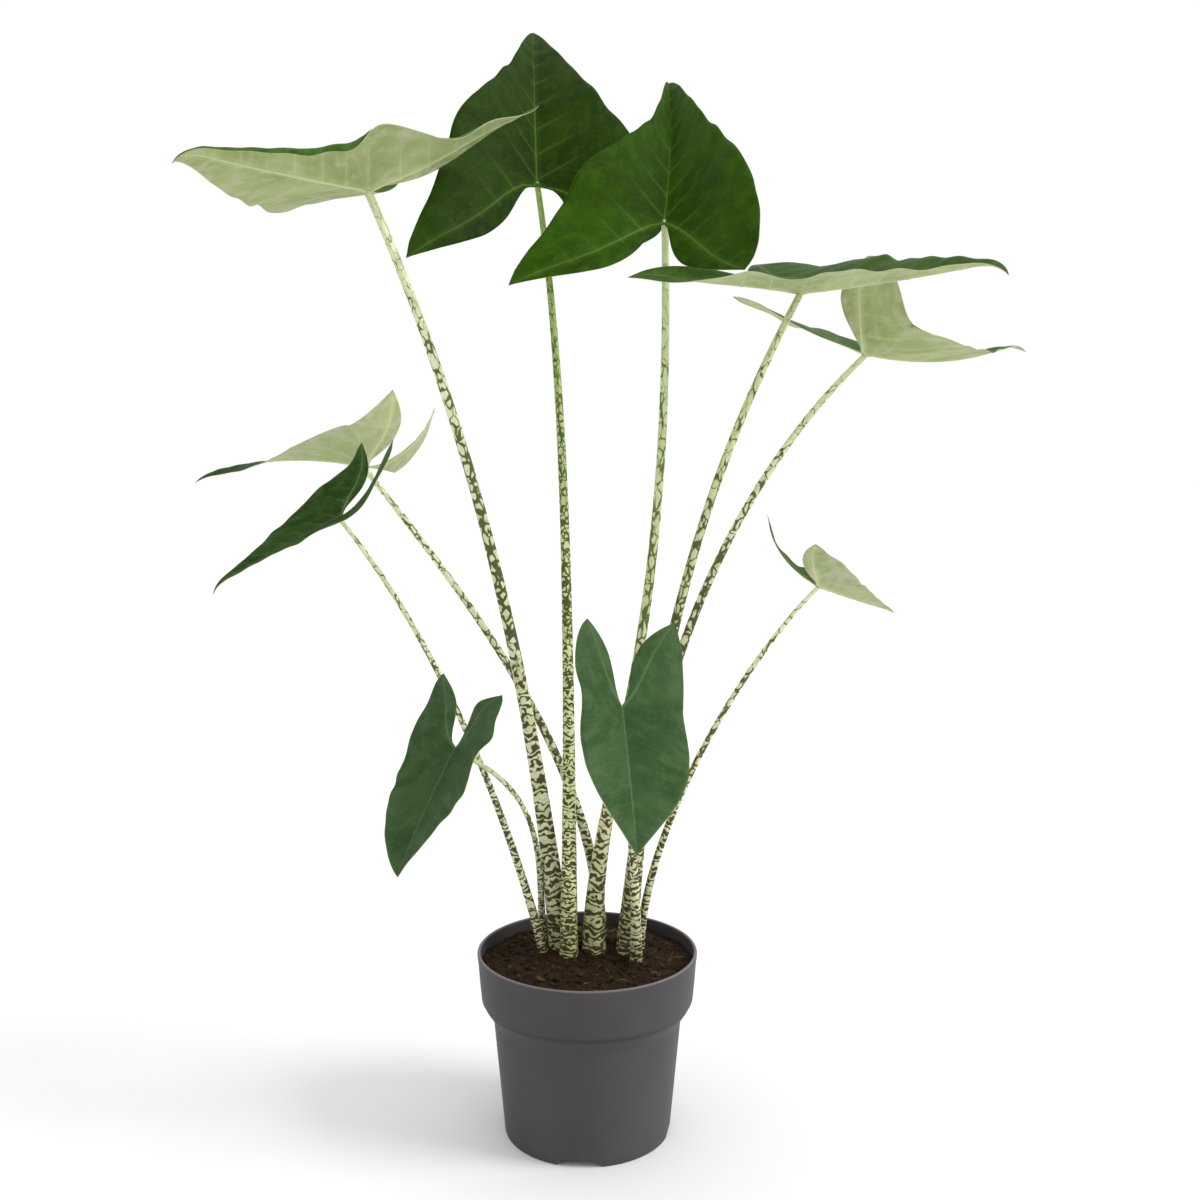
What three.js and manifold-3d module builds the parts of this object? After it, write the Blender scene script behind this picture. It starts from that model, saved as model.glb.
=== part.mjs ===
// Potted Alocasia zebrina: a moulded nursery pot, its soil, and ten leaves.
// Each leaf is a petiole that stands in a plain hole in the soil and a thin arrow-shaped blade on top.
// Millimetres, +Z up. The origin is on the floor below the middle of the whole plant, whose front faces -Y.
import * as THREE from 'three';
import { mergeVertices } from 'three/addons/utils/BufferGeometryUtils.js';
import Module from 'manifold-3d';

const wasm = await Module();
wasm.setup();

// Where the pot's axis stands. Every other place below is counted from it.
const POT_AXIS = [-24, -20];

// Pot: its outside from the foot up the wall, over the shoulder and up the band to the lip, as [radius, z].
const POT_HEIGHT = 160;
const FOOT_RADIUS = 72;
const POT_OUTSIDE = [
  [FOOT_RADIUS, 0], [81.2, 101], [84.4, 107], [88.8, 113.5], [90.4, 117.5], [91.4, 118.5], [93, 136],
  [94, 150], [95, 158.8], [94.4, POT_HEIGHT],
];
const POT_INSIDE_TURNS = [104, 118.5, 136, 150];
const WALL = 2.2;
const PLATE_Z = 7;
const PLATE = 2.4;
const POT_SIDES = 56;
const FOOT_NOTCH = { count: 4, width: 34, slope: 5, height: 6.4, turn: -95 };
const DRAIN = { count: 6, radius: 5, ring: 44, sides: 12 };

// Soil: its level at the wall and in the middle, and how rough its top is.
const SOIL_EDGE_Z = 149;
const SOIL_CROWN = 3;
const SOIL_ROUGHNESS = 1.6;
const SOIL_SIDES = 36;
const SOIL_RINGS = 8;
const LUMP_WAVES = [5.3, 2.7, 9.1];

// The gap round whatever stands in the soil or meets a blade, and how close corners join.
const CLEARANCE = 0.3;
const WELD = 1e-3;

// Petioles
const PETIOLE_SIDES = 8;
const PETIOLE_STEPS = 15;
const PETIOLE_ROOT = 24;
const SHEATH_REACH = 0.16;
const OVER_SIZE = 40;

// Blades: ratios of the midrib's length, along it from the hub and sideways from it.
const BLADE_THICKNESS = 0.8;
const SINUS = 0.03;
const LOBE = 0.58;
const LOBE_TIP_SIDE = 0.38;
const HALF_WIDTH = 0.48;
const OUTER_MARGIN = [
  [-LOBE, LOBE_TIP_SIDE], [-0.5, 0.43], [-0.36, 0.468], [-0.18, HALF_WIDTH], [0, 0.45], [0.2, 0.38],
  [0.4, 0.28], [0.6, 0.183], [0.78, 0.1], [0.9, 0.046], [0.97, 0.015], [1, 0],
];
const NOTCH_MARGIN = [
  [-LOBE, LOBE_TIP_SIDE], [-0.53, 0.285], [-0.46, 0.19], [-0.38, 0.125], [-0.27, 0.085], [-0.15, 0.06],
  [-0.07, 0.035], [-SINUS, 0],
];
const RIB_SHARE = [[-LOBE, 0.5], [-0.46, 0.44], [-0.3, 0.32], [-0.14, 0.15], [-0.07, 0.06], [0, 0]];
const LOBE_ROWS = 8;
const TIP_ROWS = 11;
const BLADE_COLUMNS = 5;
const SINUS_COLUMNS = 2;
const HOOK_START = 0.8;
const MIDRIB_STEPS = 30;
const SECTION_STEPS = 8;
const FULLEST = 27 / 4;

// A margin that rolls over is straight only near its peak. Behind the peak it rolls over less.
const PEAK_REACH = 0.13;
const REAR_FLAP = 0.3;

// How far a lobe's margin curls down, in degrees, and the margin's ripples, in millimetres and per midrib.
const LOBE_CURL = -20;
const RIPPLE = 2;
const RIPPLES = 2;

// Every leaf starts from these and states what differs. hub is where the petiole meets the blade, and
// heading and rise are the midrib's bearing from +X and its slope there. Angles are in degrees. Pairs are
// the left and the right half, as seen from the petiole along the midrib, and a positive lift, fold, turn,
// vee or curl goes to the upper side. full widens the middle of a half, blunt its tip, gape the notch
// beside a lobe, and splay moves a lobe's tip outward. lift and turn bend and roll a lobe, sooner for a bend
// below 1, and vee folds its inner strip. flap rolls the outer margin to the underside, except at peak along
// the midrib. foot is the petiole's place on the soil, leave and arrive are the handles of its curve, and
// girth is its radius at the sheath, above it and at the blade.
const COMMON_LEAF = {
  roll: 0, arch: 5, hook: 30, sweep: 0,
  width: [1, 1], full: [0, 0], blunt: [0, 0], gape: [1, 1], lobe: [1, 1], splay: [0, 0],
  lift: [0, 0], bend: [1, 1], turn: [0, 0], vee: [0, 0], fold: [12, 12], tipFold: [12, 12],
  curl: [-20, -20], tipCurl: [-20, -20], flap: [0, 0], peak: 0,
};
const LEAVES = [
  {
    name: 'upper_left', hub: [-174, -30, 794],
    heading: 232, rise: -2, roll: 14, length: 182, arch: -4, hook: 60,
    lobe: [1.16, 1.1], splay: [0.2, 0.05], lift: [30, 50], turn: [0, 30],
    fold: [20, 12], tipFold: [20, -32], curl: [-20, 0], tipCurl: [-20, 0], flap: [95, 0], peak: 0.2,
    foot: [-23, 22], leave: [-27, 0, 255], arrive: [80, 6, -184], girth: [11, 5.6, 3.3],
  },
  {
    name: 'top_middle', hub: [-45, 90, 827],
    heading: 96, rise: 66, length: 219, arch: 30, hook: 0, sweep: -3,
    width: [0.98, 1.15], full: [-0.35, -0.12], gape: [1.8, 1.5], lobe: [1, 0.55], splay: [0.24, -0.1],
    fold: [44, 4], tipFold: [34, 10],
    foot: [-16, 2], leave: [2, 0, 250], arrive: [26, 44, -176], girth: [8.5, 5.6, 2.6],
  },
  {
    name: 'top_right', hub: [62, -40, 770],
    heading: 78, rise: 58, roll: 8, length: 192, arch: 20, hook: 20, sweep: 8,
    width: [0.92, 0.92], full: [-0.48, -0.2], gape: [1, 0.55], lobe: [0.9, 0.72], splay: [0.24, 0.05],
    fold: [26, 36], tipFold: [52, 30],
    foot: [6, 12], leave: [-6, 0, 151], arrive: [10, -20, -370], girth: [11.5, 6, 2.8],
  },
  {
    name: 'upper_right', hub: [166, -70, 709],
    heading: -40, rise: 0, length: 168, arch: -6, hook: 60,
    splay: [0.1, 0.18], lift: [10, 10], vee: [0, 28],
    fold: [30, 9], tipFold: [34, -2],
    foot: [34, 10], leave: [19, -6, 250], arrive: [-80, -6, -150], girth: [10, 5, 2.6],
  },
  {
    name: 'middle_right', hub: [244, 60, 673],
    heading: 25, rise: -8, roll: -25, length: 200, arch: -32, hook: 60,
    width: [1, 0.85], lobe: [1, 0.75], splay: [0.1, -0.1], lift: [25, 88], bend: [1, 0.35],
    turn: [0, 40],
    fold: [50, -10], tipFold: [25, -22],
    foot: [36, 32], leave: [6, 0, 230], arrive: [-118, -10, -110], girth: [8.5, 4.6, 2.5],
  },
  {
    name: 'small_right', hub: [197, 10, 474],
    heading: 25, rise: -20, roll: -20, length: 85, arch: -6, hook: 20,
    width: [0.8, 0.8], lobe: [1.85, 0.95], splay: [0, -0.1], lift: [78, 100],
    fold: [50, 30],
    foot: [46, 20], leave: [4, 0, 118], arrive: [-60, 0, -60], girth: [4.2, 3.4, 1.8],
  },
  {
    name: 'middle_left_rear', hub: [-199, 65, 576],
    heading: 160, rise: 10, roll: 15, length: 174, arch: 28, hook: 30,
    width: [0.66, 0.66], gape: [2, 1], lobe: [0.97, 0.82], splay: [-0.1, 0.1], lift: [120, 58],
    bend: [0.75, 0.3], turn: [0, 30], fold: [30, 10], tipFold: [-70, 20],
    foot: [11, 38], leave: [4, 4, 160], arrive: [88, -10, -110], girth: [6.5, 4.2, 2.5],
  },
  {
    name: 'middle_left_front', hub: [-198, -50, 535],
    heading: 190, rise: -27, roll: -5, length: 117, arch: 4, hook: 40,
    width: [0.7, 0.72], full: [0, -0.15], gape: [1, 1.5], lobe: [1.15, 0.95], splay: [0.1, 0.1],
    lift: [52, 34], bend: [0.6, 1], fold: [3, 44], tipFold: [0, 30],
    foot: [-37, 9], leave: [-38, 6, 150], arrive: [64, 40, -92], girth: [4.5, 3.2, 1.9],
  },
  {
    name: 'low_left', hub: [-103, -95, 355],
    heading: 230, rise: -52, length: 105, arch: 6, hook: 10,
    width: [1, 0.88], full: [0.7, 0], blunt: [1, 2.2], gape: [1, 1.6], lobe: [1, 0.98], splay: [0.2, 0.06],
    lift: [60, 0], fold: [26, 18], tipFold: [26, 20],
    foot: [-40, 30], leave: [-3, 2, 86], arrive: [70, 60, -46], girth: [4.2, 2.6, 1.9],
  },
  {
    name: 'low_front', hub: [28, -120, 392],
    heading: 278, rise: -50, length: 114, arch: 8, hook: 10,
    width: [0.93, 0.97], full: [0.6, 0.7], blunt: [1.2, 1], lobe: [1.24, 1], splay: [0.1, -0.06],
    fold: [0, 50], tipFold: [4, 40],
    foot: [42, -9], leave: [0, -24, 110], arrive: [0, 40, -40], girth: [6, 3.6, 2.4],
  },
];

const FINISH = {
  pot: { color: 0x48474a, roughness: 0.55, metalness: 0 },
  soil: { color: 0x2d1e16, roughness: 0.95, metalness: 0 },
  petiole: { color: 0xa8ab6a, roughness: 0.5, metalness: 0 },
  blade: { color: 0x3d6a2e, roughness: 0.45, metalness: 0 },
};

const { degToRad, lerp, clamp } = THREE.MathUtils;

function named(name, geometry, finish) {
  geometry.translate(...POT_AXIS, 0);
  const mesh = new THREE.Mesh(geometry, new THREE.MeshStandardMaterial(finish));
  mesh.name = name;
  return mesh;
}

// Solids for the joins and cuts
function welded(geometry) {
  const bare = geometry.clone();
  bare.deleteAttribute('normal');
  bare.deleteAttribute('uv');
  return mergeVertices(bare, WELD);
}

function solid(geometry) {
  const { attributes, index } = welded(geometry);
  const corners = new Float32Array(attributes.position.array);
  const faces = [];
  for (let i = 0; i < index.count; i += 3) {
    const [a, b, c] = [index.getX(i), index.getX(i + 1), index.getX(i + 2)];
    if (a !== b && b !== c && c !== a) faces.push(a, b, c);
  }
  const triVerts = Uint32Array.from(faces);
  return new wasm.Manifold(new wasm.Mesh({ numProp: 3, vertProperties: corners, triVerts }));
}

function geometryOf(manifold) {
  const mesh = manifold.getMesh();
  const geometry = new THREE.BufferGeometry();
  geometry.setAttribute('position', new THREE.Float32BufferAttribute(mesh.vertProperties, 3));
  geometry.setIndex(Array.from(mesh.triVerts));
  return geometry;
}

function largest(manifold) {
  return manifold.decompose().sort((a, b) => b.volume() - a.volume())[0];
}

// A value read off a list of [place, value] points, straight between them.
function valueAt(points, place) {
  for (let i = 1; i < points.length; i++) {
    const [[from, start], [to, end]] = [points[i - 1], points[i]];
    if (place <= to) return lerp(start, end, clamp((place - from) / (to - from), 0, 1));
  }
  return points.at(-1)[1];
}

// Blades
function bladeAxes(leaf) {
  const heading = degToRad(leaf.heading);
  const rise = degToRad(leaf.rise);
  const forward = new THREE.Vector3(
    Math.cos(rise) * Math.cos(heading), Math.cos(rise) * Math.sin(heading), Math.sin(rise));
  const left = new THREE.Vector3(-Math.sin(heading), Math.cos(heading), 0);
  left.applyAxisAngle(forward, degToRad(leaf.roll));
  return { forward, left, up: forward.clone().cross(left) };
}

// How far sideways of the midrib's line the margin of the notch and a lobe's rib run.
function notchSide(leaf, place, side) {
  const wider = 1 + (leaf.gape[side] - 1) * (1 - (place / LOBE) ** 2);
  return valueAt(NOTCH_MARGIN, place) * wider;
}

function ribSide(leaf, place, side) {
  if (place >= 0) return 0;
  return lerp(notchSide(leaf, place, side), valueAt(OUTER_MARGIN, place), valueAt(RIB_SHARE, place));
}

// The three directions of the blade's sheet beside the midrib, or beside a lobe's rib below the hub.
function sheetAxes(leaf, axes, place, side) {
  const { forward, left, up } = axes;
  if (place >= 0) {
    const drop = degToRad(leaf.arch) * place
      + degToRad(leaf.hook) * Math.max(0, (place - HOOK_START) / (1 - HOOK_START)) ** 2;
    const along = forward.clone().applyAxisAngle(up, degToRad(leaf.sweep) * place);
    const across = left.clone().applyAxisAngle(up, degToRad(leaf.sweep) * place);
    along.applyAxisAngle(across, drop);
    return { along, across, rise: along.clone().cross(across) };
  }
  const reach = Math.max(0, (-place - SINUS) / (LOBE * leaf.lobe[side] - SINUS));
  const along = forward.clone().applyAxisAngle(left, degToRad(leaf.lift[side]) * reach ** leaf.bend[side]);
  const turn = degToRad(leaf.turn[side]) * reach * (side ? -1 : 1);
  const across = left.clone().applyAxisAngle(along, turn);
  return { along, across, rise: along.clone().cross(across) };
}

// Lobes differ in length beyond the notch's floor, where both halves meet.
function stretched(leaf, place, side) {
  if (place > -SINUS) return place;
  return lerp(-SINUS, -LOBE * leaf.lobe[side], (place + SINUS) / (SINUS - LOBE));
}

// A point of the blade's middle sheet. side is 0 for the left half and 1 for the right.
function bladePoint(leaf, axes, own, sideways, side) {
  const place = stretched(leaf, own, side);
  const point = new THREE.Vector3(...leaf.hub);
  const steps = Math.max(1, Math.ceil(Math.abs(place) * MIDRIB_STEPS));
  for (let i = 0; i < steps; i++) {
    const middle = place * (i + 0.5) / steps;
    point.addScaledVector(sheetAxes(leaf, axes, middle, side).along, leaf.length * place / steps);
  }
  const { across, rise } = sheetAxes(leaf, axes, place, side);
  const reach = clamp((-place - SINUS) / (LOBE * leaf.lobe[side] - SINUS), 0, 1);
  const ahead = clamp(place, 0, 1);
  const fold = degToRad(lerp(leaf.fold[side], leaf.tipFold[side], ahead));
  const curl = degToRad(lerp(lerp(leaf.curl[side], leaf.tipCurl[side], ahead), LOBE_CURL, reach));
  const fullness = 1 + (leaf.full[side] * FULLEST * (1 - ahead) + leaf.blunt[side]) * ahead ** 2;
  const width = sideways * leaf.width[side] * fullness + leaf.splay[side] * reach ** 2;
  const rim = Math.min(1, sideways / Math.max(0.01, valueAt(OUTER_MARGIN, own)));
  const held = (1 - Math.exp(-(((own - leaf.peak) / PEAK_REACH) ** 2))) * (own < leaf.peak ? REAR_FLAP : 1);
  const flap = degToRad(leaf.flap[side]) * held * (1 - reach) ** 2;
  const section = { out: 0, lift: 0 };
  for (let i = 0; i < SECTION_STEPS; i++) {
    const share = (i + 0.5) / SECTION_STEPS;
    const slope = fold + curl * (width / HALF_WIDTH * share) ** 2 - flap * (rim * share) ** 3;
    section.out += Math.cos(slope) * width / SECTION_STEPS;
    section.lift += Math.sin(slope) * width / SECTION_STEPS;
  }
  const ripple = Math.sin(2 * Math.PI * RIPPLES * place + 2 * side) * Math.min(1, width / HALF_WIDTH) ** 2;
  point.addScaledVector(across, (side ? -1 : 1) * section.out * leaf.length);
  const inner = Math.max(0, ribSide(leaf, own, side) - sideways) * Math.tan(degToRad(leaf.vee[side]));
  return point.addScaledVector(rise, (section.lift + inner) * leaf.length + RIPPLE * ripple);
}

// Rows along a lobe end at the notch's floor and then at the hub, so that both halves meet there.
function lobePlaces() {
  const places = [];
  for (let i = 0; i < LOBE_ROWS; i++) places.push(lerp(-LOBE, -SINUS, i / (LOBE_ROWS - 1)));
  return [...places, 0];
}

function tipPlaces() {
  return Array.from({ length: TIP_ROWS + 1 }, (_, i) => i / TIP_ROWS);
}

// The middle sheet, as corners of triangles whose upper side faces out. Each half has a panel from the ribs
// to the outer margin, and one from the lobe's rib to the margin in the notch between the lobes.
function middleSheet(leaf) {
  const axes = bladeAxes(leaf);
  const corners = [];
  const panel = (places, columns, inner, outer, side, flip) => {
    const grid = places.map((place) => Array.from({ length: columns + 1 }, (_, j) => bladePoint(
      leaf, axes, place, lerp(inner(place), outer(place), j / columns), side)));
    for (let i = 1; i < grid.length; i++) {
      for (let j = 1; j <= columns; j++) {
        const [a, b, c, d] = [grid[i - 1][j - 1], grid[i][j - 1], grid[i][j], grid[i - 1][j]];
        corners.push(...(flip ? [a, c, b, a, d, c] : [a, b, c, a, c, d]));
      }
    }
  };
  const middle = () => 0;
  const outer = (place) => valueAt(OUTER_MARGIN, place);
  for (const side of [0, 1]) {
    const rib = (place) => ribSide(leaf, place, side);
    const notch = (place) => notchSide(leaf, place, side);
    panel(lobePlaces(), BLADE_COLUMNS, rib, outer, side, side === 1);
    panel(lobePlaces(), SINUS_COLUMNS, rib, notch, side, side === 0);
    panel(tipPlaces(), BLADE_COLUMNS, middle, outer, side, side === 1);
  }
  return corners;
}

// Gives a sheet its thickness: the same triangles on both faces, joined round the margin.
function thickened(corners, thickness) {
  const sheet = new THREE.BufferGeometry().setFromPoints(corners);
  const { attributes, index } = mergeVertices(sheet, WELD);
  const count = attributes.position.count;
  const faces = [];
  for (let i = 0; i < index.count; i += 3) {
    const face = [index.getX(i), index.getX(i + 1), index.getX(i + 2)];
    if (new Set(face).size === 3) faces.push(face);
  }
  const joined = new THREE.BufferGeometry();
  joined.setAttribute('position', attributes.position);
  joined.setIndex(faces.flat());
  joined.computeVertexNormals();
  const point = new THREE.Vector3();
  const normal = new THREE.Vector3();
  const points = [];
  for (const half of [0.5, -0.5]) {
    for (let i = 0; i < count; i++) {
      point.fromBufferAttribute(attributes.position, i);
      normal.fromBufferAttribute(joined.attributes.normal, i);
      points.push(point.clone().addScaledVector(normal, half * thickness));
    }
  }
  const edges = new Set(faces.flatMap(([a, b, c]) => [`${a} ${b}`, `${b} ${c}`, `${c} ${a}`]));
  const skin = faces.flatMap(([a, b, c]) => [a, b, c, a + count, c + count, b + count]);
  for (const edge of edges) {
    const [a, b] = edge.split(' ').map(Number);
    if (!edges.has(`${b} ${a}`)) skin.push(b, a, a + count, b, a + count, b + count);
  }
  const geometry = new THREE.BufferGeometry().setFromPoints(points);
  geometry.setIndex(skin);
  return geometry;
}

// Petioles
function petiolePath(leaf) {
  const foot = new THREE.Vector3(leaf.foot[0], leaf.foot[1], SOIL_EDGE_Z);
  const hub = new THREE.Vector3(...leaf.hub);
  const leave = new THREE.Vector3(...leaf.leave).add(foot);
  const arrive = new THREE.Vector3(...leaf.arrive).add(hub);
  return new THREE.CubicBezierCurve3(foot, leave, arrive, hub);
}

// A petiole's radius, from its sheath at the soil to the blade.
function petioleRadius(leaf, ratio) {
  const [base, middle, top] = leaf.girth;
  return lerp(middle, top, ratio) + (base - middle) * Math.exp(-ratio / SHEATH_REACH);
}

// What lies over the blade at its hub, where no petiole reaches.
function spaceOver(leaf) {
  const { forward, left, up } = bladeAxes(leaf);
  const lowered = OVER_SIZE / 2 - BLADE_THICKNESS / 2 - CLEARANCE;
  const middle = new THREE.Vector3(...leaf.hub).addScaledVector(up, lowered);
  const placed = new THREE.Matrix4().makeBasis(forward, left, up).setPosition(middle);
  return new THREE.BoxGeometry(OVER_SIZE, OVER_SIZE, OVER_SIZE).applyMatrix4(placed);
}

function petioleGeometry(leaf, swell = 0) {
  const path = petiolePath(leaf);
  const down = path.getTangent(0).negate();
  const root = path.getPoint(0).addScaledVector(down, PETIOLE_ROOT + swell);
  const rings = [{ centre: root, ratio: 0, tangent: path.getTangent(0) }];
  for (let i = 0; i <= PETIOLE_STEPS; i++) {
    const ratio = i / PETIOLE_STEPS;
    rings.push({ centre: path.getPoint(ratio), ratio, tangent: path.getTangent(ratio) });
  }
  const top = rings.at(-1);
  top.centre.addScaledVector(top.tangent, -(BLADE_THICKNESS / 2 + CLEARANCE));
  const points = [];
  const axis = new THREE.Vector3(1, 0, 0);
  for (const { centre, ratio, tangent } of rings) {
    axis.addScaledVector(tangent, -axis.dot(tangent)).normalize();
    const other = tangent.clone().cross(axis);
    const radius = petioleRadius(leaf, ratio) + swell;
    for (let k = 0; k < PETIOLE_SIDES; k++) {
      const angle = 2 * Math.PI * k / PETIOLE_SIDES;
      points.push(centre.clone().addScaledVector(axis, radius * Math.cos(angle))
        .addScaledVector(other, radius * Math.sin(angle)));
    }
  }
  const faces = [];
  for (let i = 1; i < rings.length; i++) {
    for (let k = 0; k < PETIOLE_SIDES; k++) {
      const next = (k + 1) % PETIOLE_SIDES;
      const [low, high] = [(i - 1) * PETIOLE_SIDES, i * PETIOLE_SIDES];
      faces.push(low + k, low + next, high + next, low + k, high + next, high + k);
    }
  }
  const last = (rings.length - 1) * PETIOLE_SIDES;
  for (let k = 2; k < PETIOLE_SIDES; k++) {
    faces.push(0, k, k - 1, last, last + k - 1, last + k);
  }
  const geometry = new THREE.BufferGeometry().setFromPoints(points);
  geometry.setIndex(faces);
  return geometry;
}

// Pot
function turned(profile, sides) {
  const points = profile.map(([radius, z]) => new THREE.Vector2(radius, z));
  const geometry = new THREE.LatheGeometry(points, sides);
  geometry.rotateX(Math.PI / 2);
  return geometry;
}

// The inside radius at a height, one wall in from the outside.
function potInside(z) {
  return valueAt(POT_OUTSIDE.map(([radius, height]) => [height, radius - WALL]), z);
}

function potSolid() {
  const plateTop = PLATE_Z + PLATE;
  const inside = [POT_HEIGHT, ...POT_INSIDE_TURNS.toReversed(), plateTop].map((z) => [potInside(z), z]);
  const skirt = FOOT_RADIUS - WALL;
  const profile = [[0, PLATE_Z], [skirt, PLATE_Z], [skirt, 0], ...POT_OUTSIDE, ...inside, [0, plateTop]];
  let pot = solid(turned(profile, POT_SIDES));
  const { width, slope, height } = FOOT_NOTCH;
  const outline = new THREE.Shape([
    new THREE.Vector2(-width / 2 - slope, -1), new THREE.Vector2(width / 2 + slope, -1),
    new THREE.Vector2(width / 2 - slope, height), new THREE.Vector2(-width / 2 + slope, height),
  ]);
  for (let i = 0; i < FOOT_NOTCH.count; i++) {
    const notch = new THREE.ExtrudeGeometry(outline, { depth: 4 * WALL, bevelEnabled: false });
    notch.rotateX(Math.PI / 2).translate(0, -skirt + 2 * WALL, 0);
    notch.rotateZ(degToRad(FOOT_NOTCH.turn + 90) + 2 * Math.PI * i / FOOT_NOTCH.count);
    pot = pot.subtract(solid(notch));
  }
  for (let i = 0; i < DRAIN.count; i++) {
    const hole = new THREE.CylinderGeometry(DRAIN.radius, DRAIN.radius, 4 * PLATE, DRAIN.sides);
    hole.rotateX(Math.PI / 2).translate(DRAIN.ring, 0, plateTop);
    hole.rotateZ(2 * Math.PI * (i + 0.5) / DRAIN.count);
    pot = pot.subtract(solid(hole));
  }
  return pot;
}

// Soil
// A repeatable height between -1 and 1 for each corner of the soil's top.
function lump(ring, side) {
  const [first, second, third] = LUMP_WAVES;
  return (Math.sin(first * ring + second * side) + Math.sin(second * ring - third * side)) / 2;
}

function soilSolid() {
  const points = [];
  const ring = (radius, z) => {
    for (let k = 0; k < SOIL_SIDES; k++) {
      const angle = 2 * Math.PI * k / SOIL_SIDES;
      points.push(new THREE.Vector3(radius * Math.cos(angle), radius * Math.sin(angle), z(k)));
    }
  };
  const turns = POT_INSIDE_TURNS.filter((z) => z < SOIL_EDGE_Z);
  const heights = [PLATE_Z + PLATE + CLEARANCE, ...turns, SOIL_EDGE_Z];
  for (const z of heights) ring(potInside(z) - CLEARANCE, () => z);
  const edge = potInside(SOIL_EDGE_Z) - CLEARANCE;
  for (let i = SOIL_RINGS - 1; i > 0; i--) {
    const radius = edge * i / SOIL_RINGS;
    const crown = SOIL_CROWN * (1 - (radius / edge) ** 2);
    ring(radius, (k) => SOIL_EDGE_Z + crown + SOIL_ROUGHNESS * lump(i, k));
  }
  const rings = points.length / SOIL_SIDES;
  points.push(new THREE.Vector3(0, 0, SOIL_EDGE_Z + SOIL_CROWN), new THREE.Vector3(0, 0, heights[0]));
  const faces = [];
  for (let k = 0; k < SOIL_SIDES; k++) {
    const next = (k + 1) % SOIL_SIDES;
    for (let i = 1; i < rings; i++) {
      const [low, high] = [(i - 1) * SOIL_SIDES, i * SOIL_SIDES];
      faces.push(low + k, low + next, high + next, low + k, high + next, high + k);
    }
    const last = (rings - 1) * SOIL_SIDES;
    faces.push(last + k, last + next, points.length - 2, next, k, points.length - 1);
  }
  const geometry = new THREE.BufferGeometry().setFromPoints(points);
  geometry.setIndex(faces);
  return solid(geometry);
}

// The plant
const plant = new THREE.Group();
let soil = soilSolid();
for (const own of LEAVES) {
  const leaf = { ...COMMON_LEAF, ...own };
  const sheet = middleSheet(leaf);
  const blade = thickened(sheet, BLADE_THICKNESS);
  const room = solid(thickened(sheet, BLADE_THICKNESS + 2 * CLEARANCE)).add(solid(spaceOver(leaf)));
  const petiole = largest(solid(petioleGeometry(leaf)).subtract(room));
  soil = soil.subtract(solid(petioleGeometry(leaf, CLEARANCE)));
  plant.add(named(`petiole_${leaf.name}`, geometryOf(petiole), FINISH.petiole));
  plant.add(named(`blade_${leaf.name}`, blade, FINISH.blade));
}
plant.add(named('pot', geometryOf(potSolid()), FINISH.pot));
plant.add(named('soil', geometryOf(largest(soil)), FINISH.soil));

export default plant;
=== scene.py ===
"""Looks of the potted Alocasia zebrina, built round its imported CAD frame.

Lengths are in millimetres until a mesh is made, and +Z is up. The plant's front faces -Y.
"""
import math

import bmesh
import bpy
import numpy as np
from mathutils import Matrix, Vector, noise


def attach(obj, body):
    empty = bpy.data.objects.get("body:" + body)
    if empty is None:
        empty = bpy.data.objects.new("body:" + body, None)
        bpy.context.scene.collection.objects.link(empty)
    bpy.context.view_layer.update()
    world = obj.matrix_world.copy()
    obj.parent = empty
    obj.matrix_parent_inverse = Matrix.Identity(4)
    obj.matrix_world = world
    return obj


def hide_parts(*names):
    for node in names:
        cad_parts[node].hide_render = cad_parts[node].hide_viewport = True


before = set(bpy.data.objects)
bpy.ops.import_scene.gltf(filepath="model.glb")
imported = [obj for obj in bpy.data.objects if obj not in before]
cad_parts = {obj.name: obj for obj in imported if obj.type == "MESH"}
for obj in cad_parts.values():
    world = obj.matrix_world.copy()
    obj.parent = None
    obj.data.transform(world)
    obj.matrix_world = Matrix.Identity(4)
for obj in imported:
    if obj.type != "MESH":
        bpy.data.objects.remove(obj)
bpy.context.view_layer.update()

MM = 0.001

# Where the pot's axis stands. Every other place below is counted from it.
POT_AXIS = (-24, -20)

# Camera: the photograph's frame is 1200 pixels wide, and its focal length is 1300 of them.
CAMERA_PLACE = (11, -1090, 576)
CAMERA_PITCH = 5.9
FOCAL_LENGTH = 1300 / 1200

# Pot
POT_HEIGHT = 160
FOOT_RADIUS = 72
POT_OUTSIDE = [
    (FOOT_RADIUS, 0), (81.2, 101), (84.4, 107), (88.8, 113.5), (90.4, 117.5), (91.4, 118.5), (93, 136),
    (94, 150), (95, 158.8), (94.4, POT_HEIGHT),
]
WALL = 2.2
PLATE_Z = 7
PLATE = 2.4
# The middle of the painted shadow along the crease under the band.
CREASE_Z = 116.2
# Where the painted highlight along the lip begins.
LIP_HIGHLIGHT_Z = 158.3
EASED_CORNER = 1.1
POT_SIDES = 180
FOOT_NOTCH = {"count": 4, "width": 34, "slope": 5, "height": 6.4, "turn": -95}
DRAIN = {"count": 6, "radius": 5, "ring": 44}

# Soil
SOIL_EDGE_Z = 149
SOIL_CROWN = 3
SOIL_REACH = 91
SOIL_SIDES = 260
SOIL_RINGS = 84
CLEARANCE = 0.3

# Petioles
PETIOLE_SIDES = 28
PETIOLE_STEP = 2.4
PETIOLE_ROOT = 20
SHEATH_REACH = 0.16

# A petiole narrows to a point just before the hub, inside the blade's knob. Each pair is how far from the hub,
# in millimetres, and the share of the radius that is left from there on.
PETIOLE_END = [(1.45, 0.6), (1.2, 0.25)]
PETIOLE_LAST_RINGS = (1.4, 1)

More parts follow.
